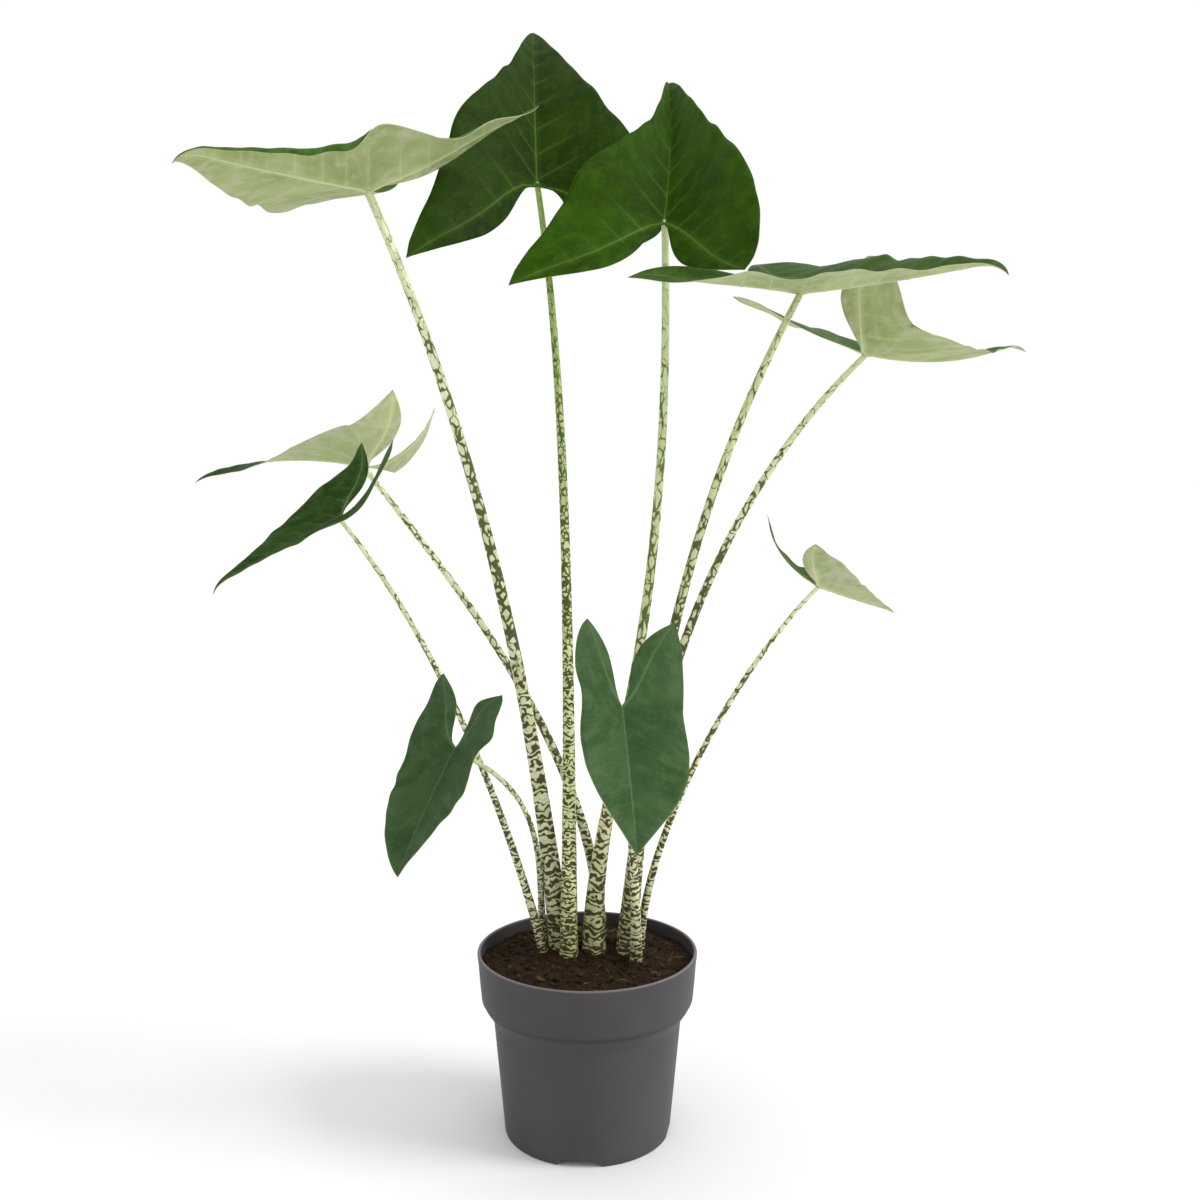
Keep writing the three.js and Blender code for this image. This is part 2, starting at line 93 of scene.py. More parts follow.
# The groove along a petiole's inner side and the lips beside it: depth as a share of the radius, and reach as
# an angle in radians. FLAT_GROOVE is the share of the groove that goes on above the sheath.
GROOVE_DEPTH = 0.16
GROOVE_REACH = 0.3
FLAT_GROOVE = 0.25
LIP_HEIGHT = 0.05
LIP_PLACE = 0.55
LIP_REACH = 0.22

# The marks on a petiole whose girth is COMMON_GIRTH: their size across and along it, at places from the soil to
# the blade.
COMMON_GIRTH = 5.6
CELL_PLACES = [0, 0.1, 0.5, 1]
CELL_WIDTHS = [8.5, 8, 6.4, 5]
CELL_HEIGHTS = [5.4, 6, 9, 13]

# Blades: ratios of the midrib's length, along it from the hub and sideways from it.
SINUS = 0.03
LOBE = 0.58
LOBE_TIP_SIDE = 0.38
HALF_WIDTH = 0.48
OUTER_MARGIN = [
    (-LOBE, LOBE_TIP_SIDE), (-0.5, 0.43), (-0.36, 0.468), (-0.18, HALF_WIDTH), (0, 0.45), (0.2, 0.38),
    (0.4, 0.28), (0.6, 0.183), (0.78, 0.1), (0.9, 0.046), (0.97, 0.015), (1, 0),
]
NOTCH_MARGIN = [
    (-LOBE, LOBE_TIP_SIDE), (-0.53, 0.285), (-0.46, 0.19), (-0.38, 0.125), (-0.27, 0.085), (-0.15, 0.06),
    (-0.07, 0.035), (-SINUS, 0), (0, 0),
]
RIB_SHARE = [(-LOBE, 0.5), (-0.46, 0.44), (-0.3, 0.32), (-0.14, 0.15), (-0.07, 0.06), (0, 0)]
HOOK_START = 0.8
FULLEST = 27 / 4
LATERALS = [-0.5, -0.41, -0.31, -0.21, -0.11, 0, 0.12, 0.25, 0.39, 0.53, 0.66, 0.78, 0.88]
LATERAL_SLANT = (0.62, 0.68)
LATERAL_BEND = 0.35
ROW_STEP = 2.5
BLADE_COLUMNS = 24
NOTCH_COLUMNS = 10
HALF_THICKNESS = 0.36
MARGIN_THICKNESS = 0.2

# A margin that rolls over is straight only near its peak. Behind the peak it rolls over less.
PEAK_REACH = 0.13
REAR_FLAP = 0.3

# How far a lobe's margin curls down, in degrees, and the margin's ripples, in millimetres and per midrib.
LOBE_CURL = -20
RIPPLE = 2
RIPPLES = 2

# Every leaf starts from these and states what differs. Angles are in degrees, and pairs are the left and
# the right half, as seen from the stalk along the midrib. hub is where the stalk meets the blade, heading
# and rise are the midrib's bearing from +X and its slope there, and a positive lift, fold, turn, vee or
# curl goes to the upper side. full widens the middle of a half, blunt its tip, gape the notch beside a
# lobe, and splay moves a lobe's tip outward. lift and turn bend and roll a lobe, sooner for a bend below 1,
# and vee folds its inner strip. flap rolls the outer margin to the underside, except at peak along the
# midrib. foot, leave and arrive are the stalk's place on the soil and its curve's handles, and girth is its
# radius at the sheath, above it and at the blade. ruffle is the height of the margin's own small waves, and
# marks is the size of the stalk's marks.
COMMON_LEAF = {
    "roll": 0, "arch": 5, "hook": 30, "sweep": 0,
    "width": (1, 1), "full": (0, 0), "blunt": (0, 0), "gape": (1, 1), "lobe": (1, 1), "splay": (0, 0),
    "lift": (0, 0), "bend": (1, 1), "turn": (0, 0), "vee": (0, 0), "fold": (12, 12), "tipFold": (12, 12),
    "curl": (-20, -20), "tipCurl": (-20, -20), "flap": (0, 0), "peak": 0,
    "ruffle": 1.6, "look": "pale", "stalk": "cream", "marks": 1,
}
LEAVES = [
    dict(name="upper_left", hub=(-174, -30, 794),
         heading=232, rise=-2, roll=14, length=182, arch=-4, hook=60,
         lobe=(1.16, 1.1), splay=(0.2, 0.05), lift=(30, 50), turn=(0, 30),
         fold=(20, 12), tipFold=(20, -32), curl=(-20, 0), tipCurl=(-20, 0), flap=(95, 0), peak=0.2,
         foot=(-23, 22), leave=(-27, 0, 255), arrive=(80, 6, -184), girth=(11, 5.6, 3.3)),
    dict(name="top_middle", hub=(-45, 90, 827),
         heading=96, rise=66, length=219, arch=30, hook=0, sweep=-3,
         width=(0.98, 1.15), full=(-0.35, -0.12), gape=(1.8, 1.5), lobe=(1, 0.55), splay=(0.24, -0.1),
         fold=(44, 4), tipFold=(34, 10),
         foot=(-16, 2), leave=(2, 0, 250), arrive=(26, 44, -176), girth=(8.5, 5.6, 2.6),
         # The deep look gives this blade painted shade on its upper side.
         look="deep", stalk="fresh", marks=0.7),
    dict(name="top_right", hub=(62, -40, 770),
         heading=78, rise=58, roll=8, length=192, arch=20, hook=20, sweep=8,
         width=(0.92, 0.92), full=(-0.48, -0.2), gape=(1, 0.55), lobe=(0.9, 0.72), splay=(0.24, 0.05),
         fold=(26, 36), tipFold=(52, 30),
         foot=(6, 12), leave=(-6, 0, 151), arrive=(10, -20, -370), girth=(11.5, 6, 2.8),
         look="dark", stalk="beige"),
    dict(name="upper_right", hub=(166, -70, 709),
         heading=-40, rise=0, length=168, arch=-6, hook=60,
         splay=(0.1, 0.18), lift=(10, 10), vee=(0, 28),
         fold=(30, 9), tipFold=(34, -2),
         foot=(34, 10), leave=(19, -6, 250), arrive=(-80, -6, -150), girth=(10, 5, 2.6),
         stalk="olive"),
    dict(name="middle_right", hub=(244, 60, 673),
         heading=25, rise=-8, roll=-25, length=200, arch=-32, hook=60,
         width=(1, 0.85), lobe=(1, 0.75), splay=(0.1, -0.1), lift=(25, 88), bend=(1, 0.35),
         turn=(0, 40),
         fold=(50, -10), tipFold=(25, -22),
         foot=(36, 32), leave=(6, 0, 230), arrive=(-118, -10, -110), girth=(8.5, 4.6, 2.5)),
    dict(name="small_right", hub=(197, 10, 474),
         heading=25, rise=-20, roll=-20, length=85, arch=-6, hook=20,
         width=(0.8, 0.8), lobe=(1.85, 0.95), splay=(0, -0.1), lift=(78, 100),
         fold=(50, 30),
         foot=(46, 20), leave=(4, 0, 118), arrive=(-60, 0, -60), girth=(4.2, 3.4, 1.8),
         look="young", ruffle=0.8),
    dict(name="middle_left_rear", hub=(-199, 65, 576),
         heading=160, rise=10, roll=15, length=174, arch=28, hook=30,
         width=(0.66, 0.66), gape=(2, 1), lobe=(0.97, 0.82), splay=(-0.1, 0.1), lift=(120, 58),
         bend=(0.75, 0.3), turn=(0, 30), fold=(30, 10), tipFold=(-70, 20),
         foot=(11, 38), leave=(4, 4, 160), arrive=(88, -10, -110), girth=(6.5, 4.2, 2.5),
         look="young", ruffle=0.5),
    dict(name="middle_left_front", hub=(-198, -50, 535),
         heading=190, rise=-27, roll=-5, length=117, arch=4, hook=40,
         width=(0.7, 0.72), full=(0, -0.15), gape=(1, 1.5), lobe=(1.15, 0.95), splay=(0.1, 0.1),
         lift=(52, 34), bend=(0.6, 1), fold=(3, 44), tipFold=(0, 30),
         foot=(-37, 9), leave=(-38, 6, 150), arrive=(64, 40, -92), girth=(4.5, 3.2, 1.9),
         look="young", ruffle=0.5),
    dict(name="low_left", hub=(-103, -95, 355),
         heading=230, rise=-52, length=105, arch=6, hook=10,
         width=(1, 0.88), full=(0.7, 0), blunt=(1, 2.2), gape=(1, 1.6), lobe=(1, 0.98), splay=(0.2, 0.06),
         lift=(60, 0), fold=(26, 18), tipFold=(26, 20),
         foot=(-40, 30), leave=(-3, 2, 86), arrive=(70, 60, -46), girth=(4.2, 2.6, 1.9),
         look="low", ruffle=0.8),
    dict(name="low_front", hub=(28, -120, 392),
         heading=278, rise=-50, length=114, arch=8, hook=10,
         width=(0.93, 0.97), full=(0.6, 0.7), blunt=(1.2, 1), lobe=(1.24, 1), splay=(0.1, -0.06),
         fold=(0, 50), tipFold=(4, 40),
         foot=(42, -9), leave=(0, -24, 110), arrive=(0, 40, -40), girth=(6, 3.6, 2.4),
         look="low", ruffle=0.8),
]


# Numbers
def radians(degrees):
    return np.radians(np.asarray(degrees, float))


def smooth_value(points, place):
    """A value read off (place, value) points, on a smooth curve that never overshoots them."""
    x, y = np.array(points, float).T
    slopes = np.diff(y) / np.diff(x)
    inner = np.where(slopes[1:] * slopes[:-1] > 0, 2 * slopes[1:] * slopes[:-1] / np.where(
        slopes[1:] + slopes[:-1] == 0, 1, slopes[1:] + slopes[:-1]), 0)
    tangent = np.concatenate([slopes[:1], inner, slopes[-1:]])
    place = np.clip(place, x[0], x[-1])
    i = np.clip(np.searchsorted(x, place, "right") - 1, 0, len(x) - 2)
    span = x[i + 1] - x[i]
    t = (place - x[i]) / span
    return ((1 + 2 * t) * (1 - t) ** 2 * y[i] + t * (1 - t) ** 2 * span * tangent[i]
            + t * t * (3 - 2 * t) * y[i + 1] + t * t * (t - 1) * span * tangent[i + 1])


def spun(vectors, axes, angles):
    """Each vector turned about its own unit axis."""
    angles = np.asarray(angles, float)[..., None]
    vectors, axes, _ = np.broadcast_arrays(vectors, axes, angles)
    along = axes * np.sum(axes * vectors, -1, keepdims=True)
    return (vectors - along) * np.cos(angles) + np.cross(axes, vectors) * np.sin(angles) + along


def unit(vectors):
    return vectors / np.maximum(np.linalg.norm(vectors, axis=-1, keepdims=True), 1e-9)


def bump(distance, reach):
    """1 at no distance, falling smoothly to 0 at reach."""
    return np.maximum(0, 1 - (distance / reach) ** 2) ** 2


# Meshes
def framed(points):
    """Points beside the pot's axis, in millimetres, as places in the frame, in metres."""
    return ((np.asarray(points, float) + (*POT_AXIS, 0)) * MM).tolist()


def make_piece(name, points, faces, materials, nodes=(), picks=None, attributes=None):
    """A smooth mesh object from points in millimetres. picks is each face's material."""
    mesh = bpy.data.meshes.new(name)
    mesh.from_pydata(framed(points), [], faces)
    mesh.polygons.foreach_set("use_smooth", np.ones(len(mesh.polygons), bool))
    for material in materials:
        mesh.materials.append(material)
    if picks is not None:
        mesh.polygons.foreach_set("material_index", np.asarray(picks, np.int32))
    for key, values in (attributes or {}).items():
        values = np.asarray(values, np.float32)
        kind, field = ("FLOAT_VECTOR", "vector") if values.ndim == 2 else ("FLOAT", "value")
        mesh.attributes.new(key, kind, "POINT").data.foreach_set(field, values.ravel())
    mesh.update()
    obj = bpy.data.objects.new(name, mesh)
    bpy.context.scene.collection.objects.link(obj)
    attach(obj, "root")
    if nodes:
        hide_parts(*nodes)
    return obj


def tube_faces(rings, sides, start=0):
    """The faces between rings of points that follow one another."""
    faces = []
    for low in range(start, start + (rings - 1) * sides, sides):
        for k in range(sides):
            after = (k + 1) % sides
            faces.append((low + k, low + after, low + sides + after, low + sides + k))
    return faces


def end_faces(rings, sides, start=0):
    """The two faces that close such a tube."""
    last = start + (rings - 1) * sides
    return [tuple(range(start, start + sides))[::-1], tuple(range(last, last + sides))]


def point_normals(points, faces):
    normals = np.zeros_like(points)
    corners = np.array([face if len(face) == 4 else (*face, face[-1]) for face in faces])
    first, second, third, fourth = (points[corners[:, k]] for k in range(4))
    facing = np.cross(third - first, fourth - second)
    for k in range(4):
        np.add.at(normals, corners[:, k], facing)
    return unit(normals)


# Materials
def rgb(code):
    """A colour's linear values from its six-digit code."""
    parts = [int(code[i:i + 2], 16) / 255 for i in (0, 2, 4)]
    return (*[p / 12.92 if p <= 0.04045 else ((p + 0.055) / 1.055) ** 2.4 for p in parts], 1)


class Shading:
    """A material with short spellings for the nodes that its colours and bumps are made of."""

    def __init__(self, name, **constants):
        self.material = bpy.data.materials.new(name)
        self.material.use_nodes = True
        self.tree = self.material.node_tree
        self.shader = self.tree.nodes["Principled BSDF"]
        for key, value in constants.items():
            self.shader.inputs[key.replace("_", " ")].default_value = value

    def node(self, kind, out, inputs, **settings):
        made = self.tree.nodes.new(kind)
        for key, value in settings.items():
            setattr(made, key, value)
        for key, value in inputs.items():
            if isinstance(value, bpy.types.NodeSocket):
                self.tree.links.new(value, made.inputs[key])
            else:
                made.inputs[key].default_value = value
        return made.outputs[out]

    def field(self, name, out="Vector"):
        return self.node("ShaderNodeAttribute", out, {}, attribute_name=name)

    def parts(self, vector):
        split = self.tree.nodes.new("ShaderNodeSeparateXYZ")
        self.tree.links.new(vector, split.inputs[0])
        return split.outputs[0], split.outputs[1], split.outputs[2]

    def calc(self, operation, first, second=0.0):
        return self.node("ShaderNodeMath", 0, {0: first, 1: second}, operation=operation)

    def plus(self, first, second):
        return self.calc("ADD", first, second)

    def less(self, first, second):
        return self.calc("SUBTRACT", first, second)

    def times(self, first, second):
        return self.calc("MULTIPLY", first, second)

    def spread(self, value, low, high, start=0.0, end=1.0):
        """start below low and end above high, or the other way round where low is the larger."""
        if low > high:
            low, high, start, end = high, low, end, start
        return self.node("ShaderNodeMapRange", 0, {
            "Value": value, "From Min": low, "From Max": high, "To Min": start, "To Max": end,
        }, interpolation_type="SMOOTHSTEP")

    def mix(self, factor, first, second):
        return self.node("ShaderNodeMix", 2, {0: factor, 6: first, 7: second}, data_type="RGBA")

    def tint(self, colour, tone, share, strength):
        """The colour with some of a tone mixed in, where share is above 0."""
        return self.mix(self.times(share, strength), colour, tone)

    def noise(self, vector, scale, detail=2.0, roughness=0.5):
        return self.node("ShaderNodeTexNoise", 0, {
            "Vector": vector, "Scale": scale, "Detail": detail, "Roughness": roughness,
        })

    def seams(self, vector, scale):
        """How far a place is from the borders of the cells that it lies among."""
        return self.node("ShaderNodeTexVoronoi", "Distance", {"Vector": vector, "Scale": scale},
                         feature="DISTANCE_TO_EDGE")

    def warped(self, vector, scale, amount):
        """The place moved about by noise, so that what is drawn there runs unevenly."""
        drift = self.node("ShaderNodeTexNoise", 1, {"Vector": vector, "Scale": scale, "Detail": 1.5})
        return self.node("ShaderNodeVectorMath", 0, {0: drift, 1: (amount,) * 3, 2: vector},
                         operation="MULTIPLY_ADD")

    def stretched(self, vector, scale):
        return self.node("ShaderNodeVectorMath", 0, {0: vector, 1: scale}, operation="MULTIPLY")

    def here(self):
        return self.node("ShaderNodeTexCoord", "Object", {})

    def finish(self, colour, roughness=None, height=None, depth=0.0003):
        for key, value in (("Base Color", colour), ("Roughness", roughness)):
            if isinstance(value, bpy.types.NodeSocket):
                self.tree.links.new(value, self.shader.inputs[key])
            elif value is not None:
                self.shader.inputs[key].default_value = value
        if height is not None:
            normal = self.node("ShaderNodeBump", 0, {"Height": height, "Distance": depth, "Strength": 1.0})
            self.tree.links.new(normal, self.shader.inputs["Normal"])
        return self.material


# Upper and under sides of a blade: deep, middle and light ground, ribs, margin and tips.
DARK_UNDER = ("98a670", "a5b27a", "b2ba8e", "c6ce9b", "b9c094", "8b8878")
BLADE_LOOKS = {
    # The deep look is the dark look with its upper side darkened: painted shade for the top middle blade, which
    # leans back into the light.
    "deep": {
        "upper": ("192b04", "213706", "2d470e", "557430", "3e591c", "2a3816"),
        "under": DARK_UNDER,
    },
    "dark": {
        "upper": ("1f3702", "284604", "355709", "5f8034", "47681f", "2c3e18"),
        "under": DARK_UNDER,
    },
    "pale": {
        "upper": ("2a4412", "365419", "4a6a2a", "7a9050", "5e7a38", "465230"),
        "under": ("8d9b60", "a3b177", "b6ba96", "cad3a0", "bcc39a", "7d7468"),
    },
    "young": {
        "upper": ("1f380c", "2b4617", "3d5a30", "7d9260", "5a6e44", "444a40"),
        "under": ("98a56e", "a8b480", "b6b8a0", "cad2a0", "bcc0a0", "6c6064"),
    },
    "low": {
        "upper": ("304828", "3a5232", "4a623e", "6c8660", "5c7448", "3c4a30"),
        "under": ("93a36a", "a2b07a", "b2b896", "c8d0a2", "b8c098", "6f6c68"),
    },
}

# How clearly the veins show on the upper side, and on every under side.
VEIN_SHARES = {"deep": 0.36, "dark": 0.36, "pale": 0.3, "young": 0.2, "low": 0.06}
UNDER_VEIN_SHARE = 0.42

# What else differs between a blade's upper and under sides.
FACE_LOOKS = {
    "upper": {
        "gloss": 0.03, "clouds": 0.45, "lit_edge": 0.35, "net": 0.06, "margin": 0.4, "vein_end": 0.7,
        "lobe_veins": 0.3, "net_height": -0.12, "vein_height": -0.3,
    },
    "under": {
        "gloss": 0.06, "clouds": 0.6, "lit_edge": 0.7, "net": 0.1, "margin": 0.7, "vein_end": 1.1,
        "lobe_veins": 0.7, "net_height": 0.2, "vein_height": 0.7,
    },
}


def blade_material(look, face):
    """leaf_lines is how far a place is from a lateral vein, a rib and the margin, in millimetres."""
    deep, middle, light, rib_tone, margin_tone, tip_tone = map(rgb, BLADE_LOOKS[look][face])
    own = FACE_LOOKS[face]
    upper = face == "upper"
    veins = VEIN_SHARES[look] if upper else UNDER_VEIN_SHARE
    m = Shading(f"blade {look} {face}", Specular_IOR_Level=own["gloss"])
    lateral, rib, edge = m.parts(m.field("leaf_lines"))
    where = m.field("leaf_place")
    _, _, ahead = m.parts(where)

    large = m.noise(where, 0.02, 3.0, 0.55)
    middling = m.noise(where, 0.075, 3.0, 0.6)
    fine = m.noise(where, 0.9, 3.0, 0.6)
    colour = m.mix(m.spread(large, 0.35, 0.65), deep, middle)
    colour = m.tint(colour, light, m.spread(middling, 0.45, 0.7), own["clouds"])
    lit_edge = m.times(m.spread(edge, 22.0, 0.0), m.spread(middling, 0.38, 0.62))
    colour = m.tint(colour, light, lit_edge, own["lit_edge"])
    colour = m.tint(colour, light, m.spread(fine, 0.35, 0.75), 0.12)
    net = m.spread(m.seams(m.stretched(where, (1.0, 1.4, 0.0)), 0.22), 0.09, 0.02)
    colour = m.tint(colour, rib_tone, net, own["net"])

    # Veins fade toward the margin and on the lobes.
    outward = m.calc("DIVIDE", rib, m.plus(m.plus(rib, edge), 0.01))
    fading = m.times(m.spread(outward, own["vein_end"], 0.0), m.spread(ahead, -0.6, 0.0, own["lobe_veins"]))
    colour = m.tint(colour, rib_tone, m.spread(rib, 6.0, 0.5), 0.3 * veins if upper else 0.3)
    colour = m.tint(colour, rib_tone, m.times(m.spread(lateral, 3.5, 0.3), fading), 0.3 * veins)
    vein = m.times(m.spread(lateral, 0.6, 0.2), fading)
    colour = m.tint(colour, rib_tone, vein, veins)
    taper = m.spread(ahead, 0.0, 1.0, 1.0, 0.3)
    rib_line = m.times(m.spread(m.calc("DIVIDE", rib, taper), 1.3, 0.6), m.spread(ahead, -0.9, 0.0, 0.5))
    colour = m.tint(colour, rib_tone, rib_line, 0.3 + 0.6 * veins if upper else 0.85)
    colour = m.tint(colour, margin_tone, m.spread(edge, 0.8, 0.3), own["margin"])
    tips = m.calc("MAXIMUM", m.spread(ahead, 0.9, 1.0), m.spread(ahead, -0.9, -1.0))
    colour = m.tint(colour, tip_tone, tips, 0.5)

    rough = m.spread(middling, 0.3, 0.7, 0.42, 0.54)
    height = m.plus(m.times(net, own["net_height"]), m.times(fine, 0.22))
    return m.finish(colour, rough, m.plus(height, m.times(vein, own["vein_height"])), 0.0003)


# The stalks' ground near the soil and near the blade, and the marks' rims and cores, low and high.
STALK_LOOKS = {
    "cream": ("d4d6b2", "d9e3b8", "747842", "3a3319", "505b2c"),
    "fresh": ("d3d8a4", "849c52", "5f702f", "3a3518", "46602a"),
    "beige": ("cccca2", "bfcb98", "6e7842", "3a331c", "53642f"),
    "olive": ("bcbc90", "c6d29c", "666b3a", "332e1b", "4f592c"),
}
CLOUD_TONE = "a6b074"
BASE_TONE = "928c5a"


def stalk_material(look):
    """grain is a place on the stalk, counted in marks, and ratio runs from 0 at the soil to 1 at the blade."""
    low, high, rim, core, high_core = map(rgb, STALK_LOOKS[look])
    m = Shading(f"stalk {look}", Specular_IOR_Level=0.14)
    grain = m.field("grain")
    ratio = m.field("ratio", "Fac")
    ground = m.mix(m.spread(ratio, 0.3, 0.95), low, high)
    ground = m.tint(ground, rgb(CLOUD_TONE), m.spread(m.noise(grain, 0.3), 0.4, 0.7), 0.4)
    ground = m.mix(m.spread(ratio, 0.14, 0.0, 0.0, 0.4), ground, rgb(BASE_TONE))

    # Low on the stalk the marks are wavy bands that run across it.
    _, _, along = m.parts(m.warped(grain, 0.85, 3.0))
    bands = m.times(m.calc("SINE", m.times(along, 2 * math.pi)), 0.13)
    blots = m.less(m.noise(grain, 1.3, 1.0), m.spread(ratio, 0.0, 0.5, 0.5, 0.58))
    bands = m.plus(m.plus(bands, m.times(blots, 0.6)), m.spread(ratio, 0.0, 0.12, 0.035, 0.0))

    # Higher up they are a broken net that thins out toward the blade.
    breaks = m.noise(grain, 0.75, 2.0, 0.55)
    width = m.times(m.spread(ratio, 0.2, 1.0, 0.16, 0.055), m.spread(ratio, 0.99, 0.86))
    width = m.times(width, m.spread(breaks, 0.38, 0.62, m.spread(ratio, 0.4, 0.9, 0.75, 0.0), 1.5))
    net = m.less(width, m.seams(m.warped(grain, 0.8, 1.1), 1.0))

    marks = m.plus(net, m.times(m.spread(ratio, 0.5, 0.2), m.less(bands, net)))
    inside = m.spread(marks, -0.015, 0.035)
    specks = m.times(m.spread(m.noise(grain, 2.6, 1.0), 0.6, 0.68), m.spread(ratio, 0.98, 0.8))
    colour = m.tint(ground, rim, m.spread(marks, -0.05, 0.0), 0.6)
    colour = m.tint(colour, rim, specks, 0.4)
    colour = m.tint(colour, m.mix(m.spread(ratio, 0.15, 0.8), core, high_core), inside, 0.92)
    streaks = m.noise(m.stretched(grain, (7.0, 7.0, 0.35)), 1.0)
    height = m.plus(m.times(streaks, 0.5), m.times(inside, 0.12))
    return m.finish(colour, m.spread(streaks, 0.3, 0.7, 0.4, 0.54), height, 0.0002)


def pot_material():
    m = Shading("moulded plastic", Specular_IOR_Level=0.3)
    here = m.here()
    cloud = m.noise(here, 9.0, 3.0)
    speck = m.noise(here, 900.0)
    colour = m.mix(m.spread(cloud, 0.3, 0.7), rgb("3a383a"), rgb("434143"))
    colour = m.tint(colour, rgb("56555a"), m.spread(speck, 0.5, 0.75), 0.1)
    _, _, up = m.parts(here)
    # Painted shadow: a dark line along the crease under the band, where the band's lower edge shades the wall
    # below it.
    crease_shadow = m.spread(m.calc("ABSOLUTE", m.less(up, CREASE_Z * MM)), 4.5 * MM, 0.0)
    colour = m.tint(colour, rgb("222124"), crease_shadow, 0.6)
    # Painted highlight: the top millimetres of the lip are lightened up to the rim.
    colour = m.tint(colour, rgb("7a7072"), m.spread(up, LIP_HIGHLIGHT_Z * MM, POT_HEIGHT * MM), 0.75)
    height = m.plus(m.times(speck, 0.3), m.times(m.noise(here, 140.0), 0.5))
    return m.finish(colour, m.spread(cloud, 0.3, 0.7, 0.5, 0.62), height, 0.00012)


def soil_material(name, tones):
    m = Shading(name, Specular_IOR_Level=0.08)
    here = m.here()
    shade = m.field("shade", "Fac")
    grain = m.noise(here, 420.0, 4.0, 0.65)
    patch = m.noise(here, 70.0, 3.0, 0.55)
    dark, brown, red = map(rgb, tones)
    colour = m.mix(m.spread(grain, 0.35, 0.68), dark, brown)
    colour = m.tint(colour, red, m.spread(patch, 0.45, 0.7), 0.5)
    colour = m.tint(colour, red, m.spread(shade, 0.5, 1.0), 0.6)
    colour = m.tint(colour, dark, m.spread(shade, 0.5, 0.0), 0.6)
    return m.finish(colour, m.spread(grain, 0.3, 0.7, 0.85, 0.98), m.plus(grain, patch), 0.0008)


# Blades
def notch_side(leaf, place, side):
    """How far sideways of the midrib's line the margin of the notch runs."""
    wider = 1 + (leaf["gape"][side] - 1) * (1 - (place / LOBE) ** 2)
    return smooth_value(NOTCH_MARGIN, place) * wider


def rib_side(leaf, place, side):
    """How far sideways of the midrib's line a lobe's rib runs."""
    inner, outer = notch_side(leaf, place, side), smooth_value(OUTER_MARGIN, place)
    return np.where(place < 0, inner + (outer - inner) * smooth_value(RIB_SHARE, place), 0)


